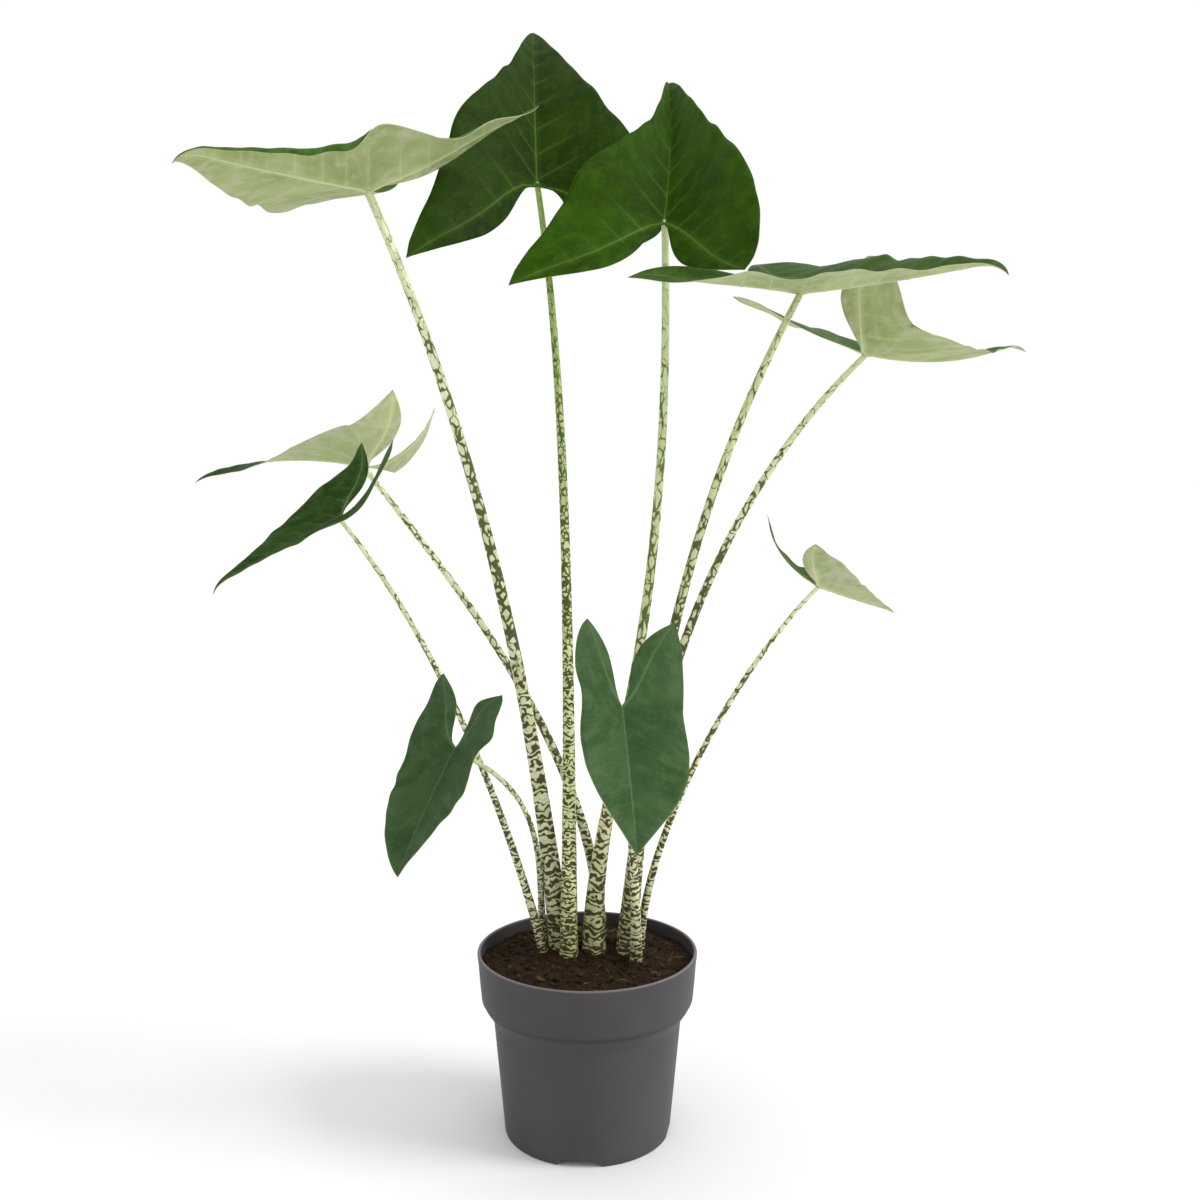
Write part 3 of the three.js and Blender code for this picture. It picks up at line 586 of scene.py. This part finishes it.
class Blade:
    """The blade's middle sheet, as the CAD has it, at any place along and sideways of its ribs."""

    def __init__(self, leaf):
        self.leaf = leaf
        heading, rise = radians(leaf["heading"]), radians(leaf["rise"])
        self.forward = np.array([math.cos(rise) * math.cos(heading), math.cos(rise) * math.sin(heading),
                                 math.sin(rise)])
        level = np.array([-math.sin(heading), math.cos(heading), 0.0])
        self.left = spun(level, self.forward, radians(leaf["roll"]))
        self.up = np.cross(self.forward, self.left)
        self.lines = [self.rib_line(side) for side in (0, 1)]

    def axes(self, place, side):
        leaf = self.leaf
        ahead = np.maximum(place, 0)
        drop = radians(leaf["arch"]) * ahead
        drop = drop + radians(leaf["hook"]) * np.maximum(0, (ahead - HOOK_START) / (1 - HOOK_START)) ** 2
        along = spun(self.forward, self.up, radians(leaf["sweep"]) * ahead)
        across = spun(self.left, self.up, radians(leaf["sweep"]) * ahead)
        along = spun(along, across, drop)
        reach = np.maximum(0, (-place - SINUS) / (LOBE * leaf["lobe"][side] - SINUS))
        lobe_along = spun(self.forward, self.left, radians(leaf["lift"][side]) * reach ** leaf["bend"][side])
        turn = radians(leaf["turn"][side]) * reach * (-1 if side else 1)
        lobe_across = spun(self.left, lobe_along, turn)
        below = (np.asarray(place) < 0)[..., None]
        along = np.where(below, lobe_along, along)
        across = np.where(below, lobe_across, across)
        return along, across, np.cross(along, across)

    def rib_line(self, side):
        """The rib's points at even places, from the lobe's tip to the blade's."""
        ends = np.arange(-1.2, 1.0501, 0.005)
        along, _, _ = self.axes((ends[1:] + ends[:-1]) / 2, side)
        run = np.concatenate([np.zeros((1, 3)), np.cumsum(along * 0.005 * self.leaf["length"], axis=0)])
        hub = np.array([np.interp(0.0, ends, run[:, k]) for k in range(3)])
        return ends, run - hub + np.array(self.leaf["hub"], float)

    def points(self, own, sideways, side, swell):
        """Points of the sheet. swell lifts them along its upward direction, in millimetres."""
        leaf = {key: value[side] if isinstance(value, tuple) else value for key, value in self.leaf.items()}
        lobe = leaf["lobe"]
        past = np.maximum(0, -own - SINUS)
        place = np.where(own < -SINUS, -SINUS - past * (lobe * LOBE - SINUS) / (LOBE - SINUS), own)
        ends, line = self.lines[side]
        centre = np.stack([np.interp(place, ends, line[:, k]) for k in range(3)], -1)
        _, across, rise = self.axes(place, side)
        reach = np.clip((-place - SINUS) / (LOBE * lobe - SINUS), 0, 1)
        ahead = np.clip(place, 0, 1)
        fold = radians(leaf["fold"] + (leaf["tipFold"] - leaf["fold"]) * ahead)
        curl = leaf["curl"] + (leaf["tipCurl"] - leaf["curl"]) * ahead
        curl = radians(curl + (LOBE_CURL - curl) * reach)
        fullness = 1 + (leaf["full"] * FULLEST * (1 - ahead) + leaf["blunt"]) * ahead ** 2
        width = sideways * leaf["width"] * fullness + leaf["splay"] * reach ** 2
        rim = np.minimum(1, sideways / np.maximum(0.01, smooth_value(OUTER_MARGIN, own)))
        held = 1 - np.exp(-((own - leaf["peak"]) / PEAK_REACH) ** 2)
        held = held * np.where(own < leaf["peak"], REAR_FLAP, 1)
        flap = radians(leaf["flap"]) * held * (1 - reach) ** 2
        steps = (np.arange(12) + 0.5) / 12
        slope = fold[..., None] + curl[..., None] * (width[..., None] / HALF_WIDTH * steps) ** 2
        slope = slope - flap[..., None] * (rim[..., None] * steps) ** 3
        out = np.cos(slope).mean(-1) * width
        lift = np.sin(slope).mean(-1) * width
        lift = lift + np.maximum(0, rib_side(self.leaf, own, side) - sideways) * np.tan(radians(leaf["vee"]))
        ripple = RIPPLE * np.sin(2 * math.pi * RIPPLES * place + 2 * side)
        ripple = ripple * np.minimum(1, width / HALF_WIDTH) ** 2
        point = centre + across * ((-1 if side else 1) * out * leaf["length"])[..., None]
        return point + rise * (lift * leaf["length"] + ripple + swell)[..., None]


def row_places(leaf):
    """Where the rows of points leave the ribs, with close ones on and beside each lateral vein."""
    length = leaf["length"]
    lobe_step = ROW_STEP / length / max(leaf["lobe"])
    rows = list(np.linspace(-LOBE, -SINUS, round((LOBE - SINUS) / lobe_step))) + [-0.018, -0.008]
    rows += list(np.linspace(0, 1, round(length / ROW_STEP)))
    for lateral in LATERALS:
        rows = [row for row in rows if abs(row - lateral) > 1.7 / length or row in (-LOBE, -SINUS, 0, 1)]
        rows += [lateral - 0.9 / length, lateral, lateral + 0.9 / length]
    return np.unique(np.round([row for row in rows if -LOBE <= row <= 1], 6))


def margin_reach(leaf, rows, rib, side, notch):
    """How far each row runs from its rib to the margin, found by halving."""
    low, high = np.zeros_like(rows), np.full_like(rows, 0.7) if not notch else rib.copy()
    for _ in range(40):
        middle = (low + high) / 2
        place, sideways = row_point(rows, rib, middle, side, notch)
        margin = notch_side(leaf, place, side) if notch else smooth_value(OUTER_MARGIN, place)
        inside = sideways > margin if notch else (sideways < margin) & (place < 1)
        low = np.where(inside, middle, low)
        high = np.where(inside, high, middle)
    return low if not notch else np.where(rows > -SINUS / 1.7, rib, low)


def row_point(rows, rib, run, side, notch):
    if notch:
        return rows - LATERAL_SLANT[side] * 0.8 * run, rib - run
    return rows + LATERAL_SLANT[side] * run + LATERAL_BEND * run ** 2, rib + run


def blade_sheet(leaf, seed):
    blade = Blade(leaf)
    length = leaf["length"]
    rows = row_places(leaf)
    laterals = np.array(LATERALS)
    nearest = np.abs(rows[:, None] - laterals).min(1) * length * 0.83
    below = np.clip(np.searchsorted(laterals, rows, "right") - 1, 0, len(laterals) - 2)
    phase = np.clip((rows - laterals[below]) / (laterals[below + 1] - laterals[below]), 0, 1)
    rng = np.random.default_rng(seed)
    points, faces, lines, places = [], [], [], []
    for side in (0, 1):
        ruffle_turns = rng.uniform(0, 6.28, 3)
        for notch in (False, True):
            use = rows <= 0 if notch else rows <= 1
            own = rows[use]
            rib = rib_side(leaf, own, side)
            full = margin_reach(leaf, own, rib, side, notch)
            columns = NOTCH_COLUMNS if notch else BLADE_COLUMNS
            steps = np.linspace(0, 1, columns + 1) ** 1.4
            run = full[:, None] * steps
            place, sideways = row_point(own[:, None], rib[:, None], run, side, notch)
            sideways = np.maximum(sideways, 0)
            quilt = np.sin(np.pi * phase[use])[:, None] ** 2 * steps * (1 - steps) * 4
            quilt = quilt * length * (0.0035 if not notch else 0.002)
            turns = own[:, None] * 6.28
            ruffle = sum(np.sin(turns * pace + start) for pace, start in zip((1.7, 3.1, 4.7), ruffle_turns))
            ruffle = ruffle * leaf["ruffle"] * 0.6 * steps ** 3 * np.minimum(1, full[:, None] * 4)
            swell = quilt + (0 if notch else ruffle)
            grid = blade.points(place, sideways, side, swell)
            start = len(points)
            points.extend(grid.reshape(-1, 3))
            edge = (full[:, None] - run) * length
            lines.extend(np.stack([np.broadcast_to(nearest[use][:, None], run.shape), run * length, edge], -1)
                         .reshape(-1, 3))
            ahead = np.where(place < 0, np.minimum(own[:, None], 0) / LOBE, place) + 0 * run
            turned_side = (-1 if side else 1) * (-1 if notch else 1)
            spots = [own[:, None] * length + 0 * run, turned_side * run * length + 300 * side, ahead]
            places.extend(np.stack(spots, -1).reshape(-1, 3))
            width = columns + 1
            for i in range(1, len(own)):
                for j in range(1, width):
                    quad = (start + (i - 1) * width + j - 1, start + i * width + j - 1,
                            start + i * width + j, start + (i - 1) * width + j)
                    faces.append(quad if (side == 1) == notch else quad[::-1])
    return np.array(points), faces, np.array(lines), np.array(places)


def welded(points, faces, *fields):
    """The same faces on shared corners, without the faces that have closed up."""
    _, first, index = np.unique(np.round(points, 3), axis=0, return_index=True, return_inverse=True)
    index = index.ravel()
    kept = []
    for face in faces:
        ring = [int(index[k]) for k in face]
        ring = [a for a, b in zip(ring, ring[1:] + ring[:1]) if a != b]
        if len(set(ring)) >= 3 and len(set(ring)) == len(ring):
            kept.append(ring)
    return points[first], kept, *[field[first] for field in fields]


def make_blade(leaf, seed, materials):
    points, faces, lines, places = welded(*blade_sheet(leaf, seed))
    normals = point_normals(points, faces)
    lateral, rib, edge = lines.T
    ahead = np.clip(places[:, 2], -1, 1)
    outward = rib / (rib + edge + 0.01)
    top = leaf["girth"][2]
    taper = np.where(ahead > 0, 1 - 0.8 * np.abs(ahead) ** 0.8, 0.85 - 0.65 * np.abs(ahead))
    ridge = top * 0.55 * taper * bump(rib, top * (0.35 + 0.75 * taper))
    ridge = ridge * np.clip((edge + rib) / 6, 0, 1)
    vein = bump(lateral, 1.2) * (1 - 0.8 * outward) * np.clip(edge / 4, 0, 1)
    hub = np.linalg.norm(points - np.array(leaf["hub"]), axis=1)
    knob = top * 0.35 * bump(hub, top * 2.6)
    skin = MARGIN_THICKNESS + (HALF_THICKNESS - MARGIN_THICKNESS) * np.clip(edge / 2.5, 0, 1) ** 0.7
    upper = points + normals * (skin - 0.18 * vein - 0.25 * bump(rib, 2.2) * taper)[:, None]
    under = points - normals * (skin + 0.32 * vein + ridge + knob)[:, None]
    count = len(points)
    solid = [list(face) for face in faces] + [[k + count for k in face[::-1]] for face in faces]
    picks = [0] * len(faces) + [1] * len(faces)
    edges = {(a, b) for face in faces for a, b in zip(face, face[1:] + face[:1])}
    for a, b in sorted(edges):
        if (b, a) not in edges:
            solid.append([b, a, a + count, b + count])
            picks.append(1)
    both = lambda field: np.concatenate([field, field])
    return make_piece(f"leaf_blade_{leaf['name']}", np.concatenate([upper, under]), solid, materials,
                      [f"blade_{leaf['name']}"], picks,
                      {"leaf_lines": both(lines), "leaf_place": both(places)})


# Petioles
def petiole_curve(leaf, ratio):
    foot = np.array([*leaf["foot"], SOIL_EDGE_Z], float)
    hub = np.array(leaf["hub"], float)
    leave, arrive = foot + leaf["leave"], hub + leaf["arrive"]
    t = np.asarray(ratio)[:, None]
    point = (1 - t) ** 3 * foot + 3 * (1 - t) ** 2 * t * leave + 3 * (1 - t) * t ** 2 * arrive + t ** 3 * hub
    tangent = (1 - t) ** 2 * (leave - foot) + 2 * (1 - t) * t * (arrive - leave) + t ** 2 * (hub - arrive)
    return point, unit(tangent)


def make_petiole(leaf, seed, material):
    base, middle, top = leaf["girth"]
    dense = np.linspace(0, 1, 400)
    line, _ = petiole_curve(leaf, dense)
    run = np.concatenate([[0], np.cumsum(np.linalg.norm(np.diff(line, axis=0), axis=1))])
    stations = [*np.arange(0, run[-1] - 1.5, PETIOLE_STEP), *(run[-1] - short for short in PETIOLE_LAST_RINGS)]
    ratio = np.interp(stations, run, dense)
    centre, tangent = petiole_curve(leaf, ratio)
    arc = np.interp(ratio, dense, run)
    root = centre[:1] - tangent[:1] * PETIOLE_ROOT
    centre, tangent = np.concatenate([root, centre]), np.concatenate([tangent[:1], tangent])
    ratio, arc = np.concatenate([[0], ratio]), np.concatenate([[-PETIOLE_ROOT], arc])
    radius = middle + (top - middle) * ratio + (base - middle) * np.exp(-ratio / SHEATH_REACH)
    share = np.ones_like(arc)
    for short, left in PETIOLE_END:
        share[arc > run[-1] - short] = left
    radius = radius * share
    broad = math.sqrt(middle / COMMON_GIRTH) * leaf["marks"]
    wide, tall = (broad * np.interp(ratio, CELL_PLACES, sizes) for sizes in (CELL_WIDTHS, CELL_HEIGHTS))
    pace = np.concatenate([[0], np.cumsum(np.diff(arc) / ((tall[1:] + tall[:-1]) / 2))])
    angles = np.linspace(0, 2 * math.pi, PETIOLE_SIDES, endpoint=False)
    aside = np.minimum(angles, 2 * math.pi - angles)
    inward = unit(np.array([-leaf["foot"][0], -leaf["foot"][1], 0.0]) + np.array([1e-3, 0, 0]))
    axis = inward
    points, grain, ratios = [], [], []
    rng = np.random.default_rng(seed)
    shift = rng.uniform(0, 60, 3)
    for i in range(len(centre)):
        axis = unit(axis - tangent[i] * np.dot(axis, tangent[i]))
        other = np.cross(tangent[i], axis)
        sheath = math.exp(-ratio[i] / SHEATH_REACH)
        depth = GROOVE_DEPTH * (FLAT_GROOVE + (1 - FLAT_GROOVE) * sheath)
        groove = depth * np.exp(-(aside / GROOVE_REACH) ** 2)
        lips = LIP_HEIGHT * sheath * np.exp(-((aside - LIP_PLACE) / LIP_REACH) ** 2)
        own = radius[i] * (1 - groove + lips)
        ring = centre[i] + np.outer(own * np.cos(angles), axis) + np.outer(own * np.sin(angles), other)
        points.extend(ring)
        spot = np.stack([radius[i] * np.cos(angles), radius[i] * np.sin(angles), 0 * angles], -1)
        spot = spot / wide[i]
        spot[:, 2] = pace[i]
        grain.extend(spot + shift)
        ratios.extend(np.full(PETIOLE_SIDES, ratio[i]))
    faces = tube_faces(len(centre), PETIOLE_SIDES) + end_faces(len(centre), PETIOLE_SIDES)
    return make_piece(f"leaf_stalk_{leaf['name']}", points, faces, [material],
                      [f"petiole_{leaf['name']}"], None, {"grain": grain, "ratio": ratios})


# Pot
def rounded(profile, radius, steps=5):
    """The profile with each inner corner eased by a short curve."""
    out = [profile[0]]
    for before, corner, after in zip(profile, profile[1:], profile[2:]):
        before, corner, after = (np.array(p, float) for p in (before, corner, after))
        cut = [min(radius, np.linalg.norm(p - corner) * 0.48) for p in (before, after)]
        start = corner + unit(before - corner) * cut[0]
        end = corner + unit(after - corner) * cut[1]
        for t in np.linspace(0, 1, steps):
            out.append(tuple((1 - t) ** 2 * start + 2 * (1 - t) * t * corner + t * t * end))
    return [*out, profile[-1]]


def pot_inside(z):
    return np.interp(z, [p[1] for p in POT_OUTSIDE], [p[0] - WALL for p in POT_OUTSIDE])


def make_pot(material):
    plate_top = PLATE_Z + PLATE
    skirt = FOOT_RADIUS - WALL
    wall = [(FOOT_RADIUS, 0), (FOOT_RADIUS + 0.9, 10), *POT_OUTSIDE[1:]]
    inside = [(float(pot_inside(z)), z) for z in (POT_HEIGHT, 150, 136, 118.5, 104, plate_top)]
    turns = [(0, PLATE_Z), (skirt, PLATE_Z), (skirt, 0), *wall, *inside, (0, plate_top)]
    eased = rounded(turns, EASED_CORNER)
    rings = eased[1:-1]
    points = []
    for radius, z in rings:
        angles = np.linspace(0, 2 * math.pi, POT_SIDES, endpoint=False)
        points.extend(np.stack([radius * np.cos(angles), radius * np.sin(angles), np.full(POT_SIDES, z)], -1))
    faces = tube_faces(len(rings), POT_SIDES) + end_faces(len(rings), POT_SIDES)
    pot = make_piece("moulded_pot", points, faces, [material], ["pot"])
    cutters = []
    for i in range(FOOT_NOTCH["count"]):
        half, slope, height = FOOT_NOTCH["width"] / 2, FOOT_NOTCH["slope"], FOOT_NOTCH["height"]
        outline = rounded([(-half - slope, -1), (-half + slope, height), (half - slope, height),
                           (half + slope, -1)], 1.6, 4)
        angle = math.radians(FOOT_NOTCH["turn"]) + 2 * math.pi * i / FOOT_NOTCH["count"]
        out = np.array([math.cos(angle), math.sin(angle)])
        along = np.array([-math.sin(angle), math.cos(angle)])
        reach = (skirt - 3 * WALL, skirt + 4 * WALL)
        cutters.append([[(*(out * depth + along * x), z) for x, z in outline] for depth in reach])
    for i in range(DRAIN["count"]):
        angle = 2 * math.pi * (i + 0.5) / DRAIN["count"]
        middle = np.array([math.cos(angle), math.sin(angle)]) * DRAIN["ring"]
        ring = [middle + DRAIN["radius"] * np.array([math.cos(a), math.sin(a)])
                for a in np.linspace(0, 2 * math.pi, 32, endpoint=False)]
        cutters.append([[(*p, z) for p in ring] for z in (PLATE_Z - 2, plate_top + 2)])
    for near, far in cutters:
        sides = tube_faces(2, len(near)) + end_faces(2, len(near))
        mesh = bpy.data.meshes.new("cutter")
        mesh.from_pydata(framed([*near, *far]), [], sides)
        mesh.update()
        cutter = bpy.data.objects.new("cutter", mesh)
        bpy.context.scene.collection.objects.link(cutter)
        make_outward(mesh)
        cut = pot.modifiers.new("cut", "BOOLEAN")
        cut.object, cut.operation, cut.solver = cutter, "DIFFERENCE", "EXACT"
        apply_modifiers(pot)
        bpy.data.objects.remove(cutter)
    shade_by_angle(pot, 40)
    return pot


def make_outward(mesh):
    own = bmesh.new()
    own.from_mesh(mesh)
    bmesh.ops.recalc_face_normals(own, faces=own.faces)
    own.to_mesh(mesh)
    own.free()


def apply_modifiers(obj):
    graph = bpy.context.evaluated_depsgraph_get()
    mesh = bpy.data.meshes.new_from_object(obj.evaluated_get(graph), depsgraph=graph)
    old = obj.data
    obj.modifiers.clear()
    obj.data = mesh
    bpy.data.meshes.remove(old)


def shade_by_angle(obj, degrees):
    """Smooth faces, with the edges sharper than this kept crisp."""
    mesh = obj.data
    mesh.polygons.foreach_set("use_smooth", np.ones(len(mesh.polygons), bool))
    mesh.set_sharp_from_angle(angle=math.radians(degrees))


# Soil
def soil_height(x, y):
    """The soil's top over a place on the pot's floor plan."""
    edge = float(pot_inside(SOIL_EDGE_Z))
    radius = math.hypot(x, y)
    height = SOIL_EDGE_Z + SOIL_CROWN * (1 - (radius / edge) ** 2)
    spot = Vector((x, y, 3.7))
    height += 2.1 * noise.noise(spot / 17) + 1.5 * noise.noise(spot / 6.5) + 0.8 * noise.noise(spot / 2.6)
    height += 0.9 * abs(noise.noise(spot / 9 + Vector((9, 2, 4))))
    for leaf in LEAVES:
        away = math.hypot(x - leaf["foot"][0], y - leaf["foot"][1]) - leaf["girth"][0]
        height += 1.6 * math.exp(-(max(away, 0) / 5) ** 2)
    return height


def make_soil(material):
    edge = float(pot_inside(SOIL_EDGE_Z)) - CLEARANCE
    floor = PLATE_Z + PLATE + CLEARANCE
    sides = [(float(pot_inside(z)) - CLEARANCE, z) for z in (floor, 104, 118.5, 136)]
    angles = np.linspace(0, 2 * math.pi, SOIL_SIDES, endpoint=False)
    points = [(r * math.cos(a), r * math.sin(a), z) for r, z in sides for a in angles]
    for i in range(SOIL_RINGS):
        radius = edge * (1 - i / SOIL_RINGS)
        for a in angles:
            x, y = radius * math.cos(a), radius * math.sin(a)
            points.append((x, y, soil_height(x, y)))
    rings = len(points) // SOIL_SIDES
    faces = tube_faces(rings, SOIL_SIDES)
    points.append((0, 0, soil_height(0, 0)))
    last = (rings - 1) * SOIL_SIDES
    faces += [(last + k, last + (k + 1) % SOIL_SIDES, len(points) - 1) for k in range(SOIL_SIDES)]
    faces.append(tuple(range(SOIL_SIDES))[::-1])
    return make_piece("soil_bed", points, faces, [material], ["soil"], None,
                      {"shade": np.full(len(points), 0.4)})


def ball():
    """A round of 42 points and 80 faces."""
    golden = (1 + 5 ** 0.5) / 2
    points = [unit(np.array(p, float)) for p in (
        (-1, golden, 0), (1, golden, 0), (-1, -golden, 0), (1, -golden, 0), (0, -1, golden), (0, 1, golden),
        (0, -1, -golden), (0, 1, -golden), (golden, 0, -1), (golden, 0, 1), (-golden, 0, -1), (-golden, 0, 1))]
    faces = [(0, 11, 5), (0, 5, 1), (0, 1, 7), (0, 7, 10), (0, 10, 11), (1, 5, 9), (5, 11, 4), (11, 10, 2),
             (10, 7, 6), (7, 1, 8), (3, 9, 4), (3, 4, 2), (3, 2, 6), (3, 6, 8), (3, 8, 9), (4, 9, 5),
             (2, 4, 11), (6, 2, 10), (8, 6, 7), (9, 8, 1)]
    halves = {}

    def half(a, b):
        key = (min(a, b), max(a, b))
        if key not in halves:
            halves[key] = len(points)
            points.append(unit(points[a] + points[b]))
        return halves[key]

    split = []
    for a, b, c in faces:
        ab, bc, ca = half(a, b), half(b, c), half(c, a)
        split += [(a, ab, ca), (b, bc, ab), (c, ca, bc), (ab, bc, ca)]
    return np.array(points), split


def free_spot(rng, room):
    """A place on the soil, clear of the wall and of the stalks."""
    while True:
        radius, angle = SOIL_REACH * math.sqrt(rng.uniform()), rng.uniform(0, 2 * math.pi)
        x, y = radius * math.cos(angle), radius * math.sin(angle)
        near = min(math.hypot(x - leaf["foot"][0], y - leaf["foot"][1]) - leaf["girth"][0] for leaf in LEAVES)
        if radius < SOIL_REACH - room and near > room:
            return x, y


def make_crumbs(name, count, sizes, flatness, shades, seed, material):
    shape, shape_faces = ball()
    rng = np.random.default_rng(seed)
    points, faces, shade = [], [], []
    for _ in range(count):
        size = rng.uniform(0, 1) ** 2.5 * (sizes[1] - sizes[0]) + sizes[0]
        x, y = free_spot(rng, size)
        own = shape * (1 + rng.uniform(-0.22, 0.22, len(shape)))[:, None]
        own = own * size * np.array([1, rng.uniform(0.5, 1), rng.uniform(*flatness)])
        lean = Matrix.Rotation(rng.uniform(0, 6.28), 3, "Z") @ Matrix.Rotation(rng.uniform(-0.6, 0.6), 3, "X")
        own = own @ np.array(lean).T
        start = len(points)
        points.extend(own + np.array([x, y, soil_height(x, y) + own[:, 2].max() * 0.25]))
        faces += [tuple(start + k for k in face) for face in shape_faces]
        shade += [rng.uniform(*shades)] * len(shape)
    piece = make_piece(name, points, faces, [material], (), None, {"shade": shade})
    shade_by_angle(piece, 50)
    return piece


def make_fibres(count, seed, material):
    rings, sides = 9, 5
    rng = np.random.default_rng(seed)
    points, faces = [], []
    for _ in range(count):
        x, y = free_spot(rng, 5)
        heading, bend = rng.uniform(0, 6.28), rng.uniform(-0.5, 0.5)
        length, thick = rng.uniform(6, 17), rng.uniform(0.16, 0.42)
        start = len(points)
        for i in range(rings):
            place = i / (rings - 1)
            px, py = x, y
            x += math.cos(heading) * length / rings
            y += math.sin(heading) * length / rings
            heading += bend / 2 + rng.uniform(-0.12, 0.12)
            z = soil_height(px, py) + 0.5 + 1.1 * math.sin(place * math.pi) * rng.uniform(0.6, 1)
            side = np.array([-math.sin(heading), math.cos(heading), 0])
            own = thick * (1 - 0.6 * abs(2 * place - 1))
            for a in 2 * math.pi * np.arange(sides) / sides:
                points.append(np.array([px, py, z + own * math.sin(a)]) + side * own * math.cos(a))
        faces += tube_faces(rings, sides, start) + end_faces(rings, sides, start)
    return make_piece("soil_fibres", points, faces, [material], (), None,
                      {"shade": np.full(len(points), 0.6)})


# Build
blade_materials = {look: [blade_material(look, face) for face in ("upper", "under")] for look in BLADE_LOOKS}
stalk_materials = {look: stalk_material(look) for look in STALK_LOOKS}
for number, own in enumerate(LEAVES):
    leaf = {**COMMON_LEAF, **own}
    make_blade(leaf, 100 + number, blade_materials[leaf["look"]])
    make_petiole(leaf, 200 + number, stalk_materials[leaf["stalk"]])
make_pot(pot_material())
make_soil(soil_material("potting soil", ("1d150e", "34271b", "3f2e20")))
make_crumbs("soil_crumbs", 620, (0.7, 3.2), (0.5, 0.95), (0, 1), 7,
            soil_material("soil crumbs", ("1e160f", "37291c", "443221")))
make_crumbs("bark_chips", 40, (1.6, 4.2), (0.16, 0.4), (0.3, 1), 11,
            soil_material("bark chips", ("32251a", "4a3829", "5c4836")))
make_crumbs("moss_bits", 26, (0.9, 2.6), (0.3, 0.6), (0.2, 1), 17,
            soil_material("moss bits", ("2c3018", "4a4f28", "6b7340")))
make_fibres(34, 41, soil_material("root fibres", ("54422f", "78624a", "94795a")))

# Floor, light and camera
FLOOR_RADIUS = 30
floor_mesh = bpy.data.meshes.new("floor")
floor_ring = [(FLOOR_RADIUS * math.cos(a), FLOOR_RADIUS * math.sin(a), 0)
              for a in np.linspace(0, 2 * math.pi, 96, endpoint=False)]
floor_mesh.from_pydata(floor_ring, [], [tuple(range(96))])
floor = bpy.data.objects.new("floor", floor_mesh)
bpy.context.scene.collection.objects.link(floor)
floor_shading = Shading("floor", Specular_IOR_Level=0.2)
floor_tone = floor_shading.mix(floor_shading.noise(floor_shading.here(), 3.0), rgb("ebebeb"), rgb("ececec"))
floor_mesh.materials.append(floor_shading.finish(floor_tone, 0.8))

world = bpy.data.worlds.new("studio")
bpy.context.scene.world = world
world.use_nodes = True
world.node_tree.nodes["Background"].inputs["Color"].default_value = (1, 1, 1, 1)
world.node_tree.nodes["Background"].inputs["Strength"].default_value = 1.0


def add_sun(place, target, strength, softness):
    """A distant soft light, shining from one place to another. softness is its breadth in degrees."""
    data = bpy.data.lights.new("key", "SUN")
    data.energy, data.angle = strength, math.radians(softness)
    lamp = bpy.data.objects.new("key", data)
    place, target = map(Vector, framed([place, target]))
    lamp.location = place
    lamp.rotation_euler = (target - place).to_track_quat("-Z", "Y").to_euler()
    bpy.context.scene.collection.objects.link(lamp)


add_sun((2200, -500, 1900), (0, 0, 350), 1.85, 25)

camera_data = bpy.data.cameras.new("camera")
camera_data.sensor_width = 36
camera_data.lens = 36 * FOCAL_LENGTH
camera = bpy.data.objects.new("camera", camera_data)
camera.location = framed([CAMERA_PLACE])[0]
camera.rotation_euler = (math.radians(90 - CAMERA_PITCH), 0, 0)
bpy.context.scene.collection.objects.link(camera)
bpy.context.scene.camera = camera
bpy.context.scene.view_settings.view_transform = "Standard"
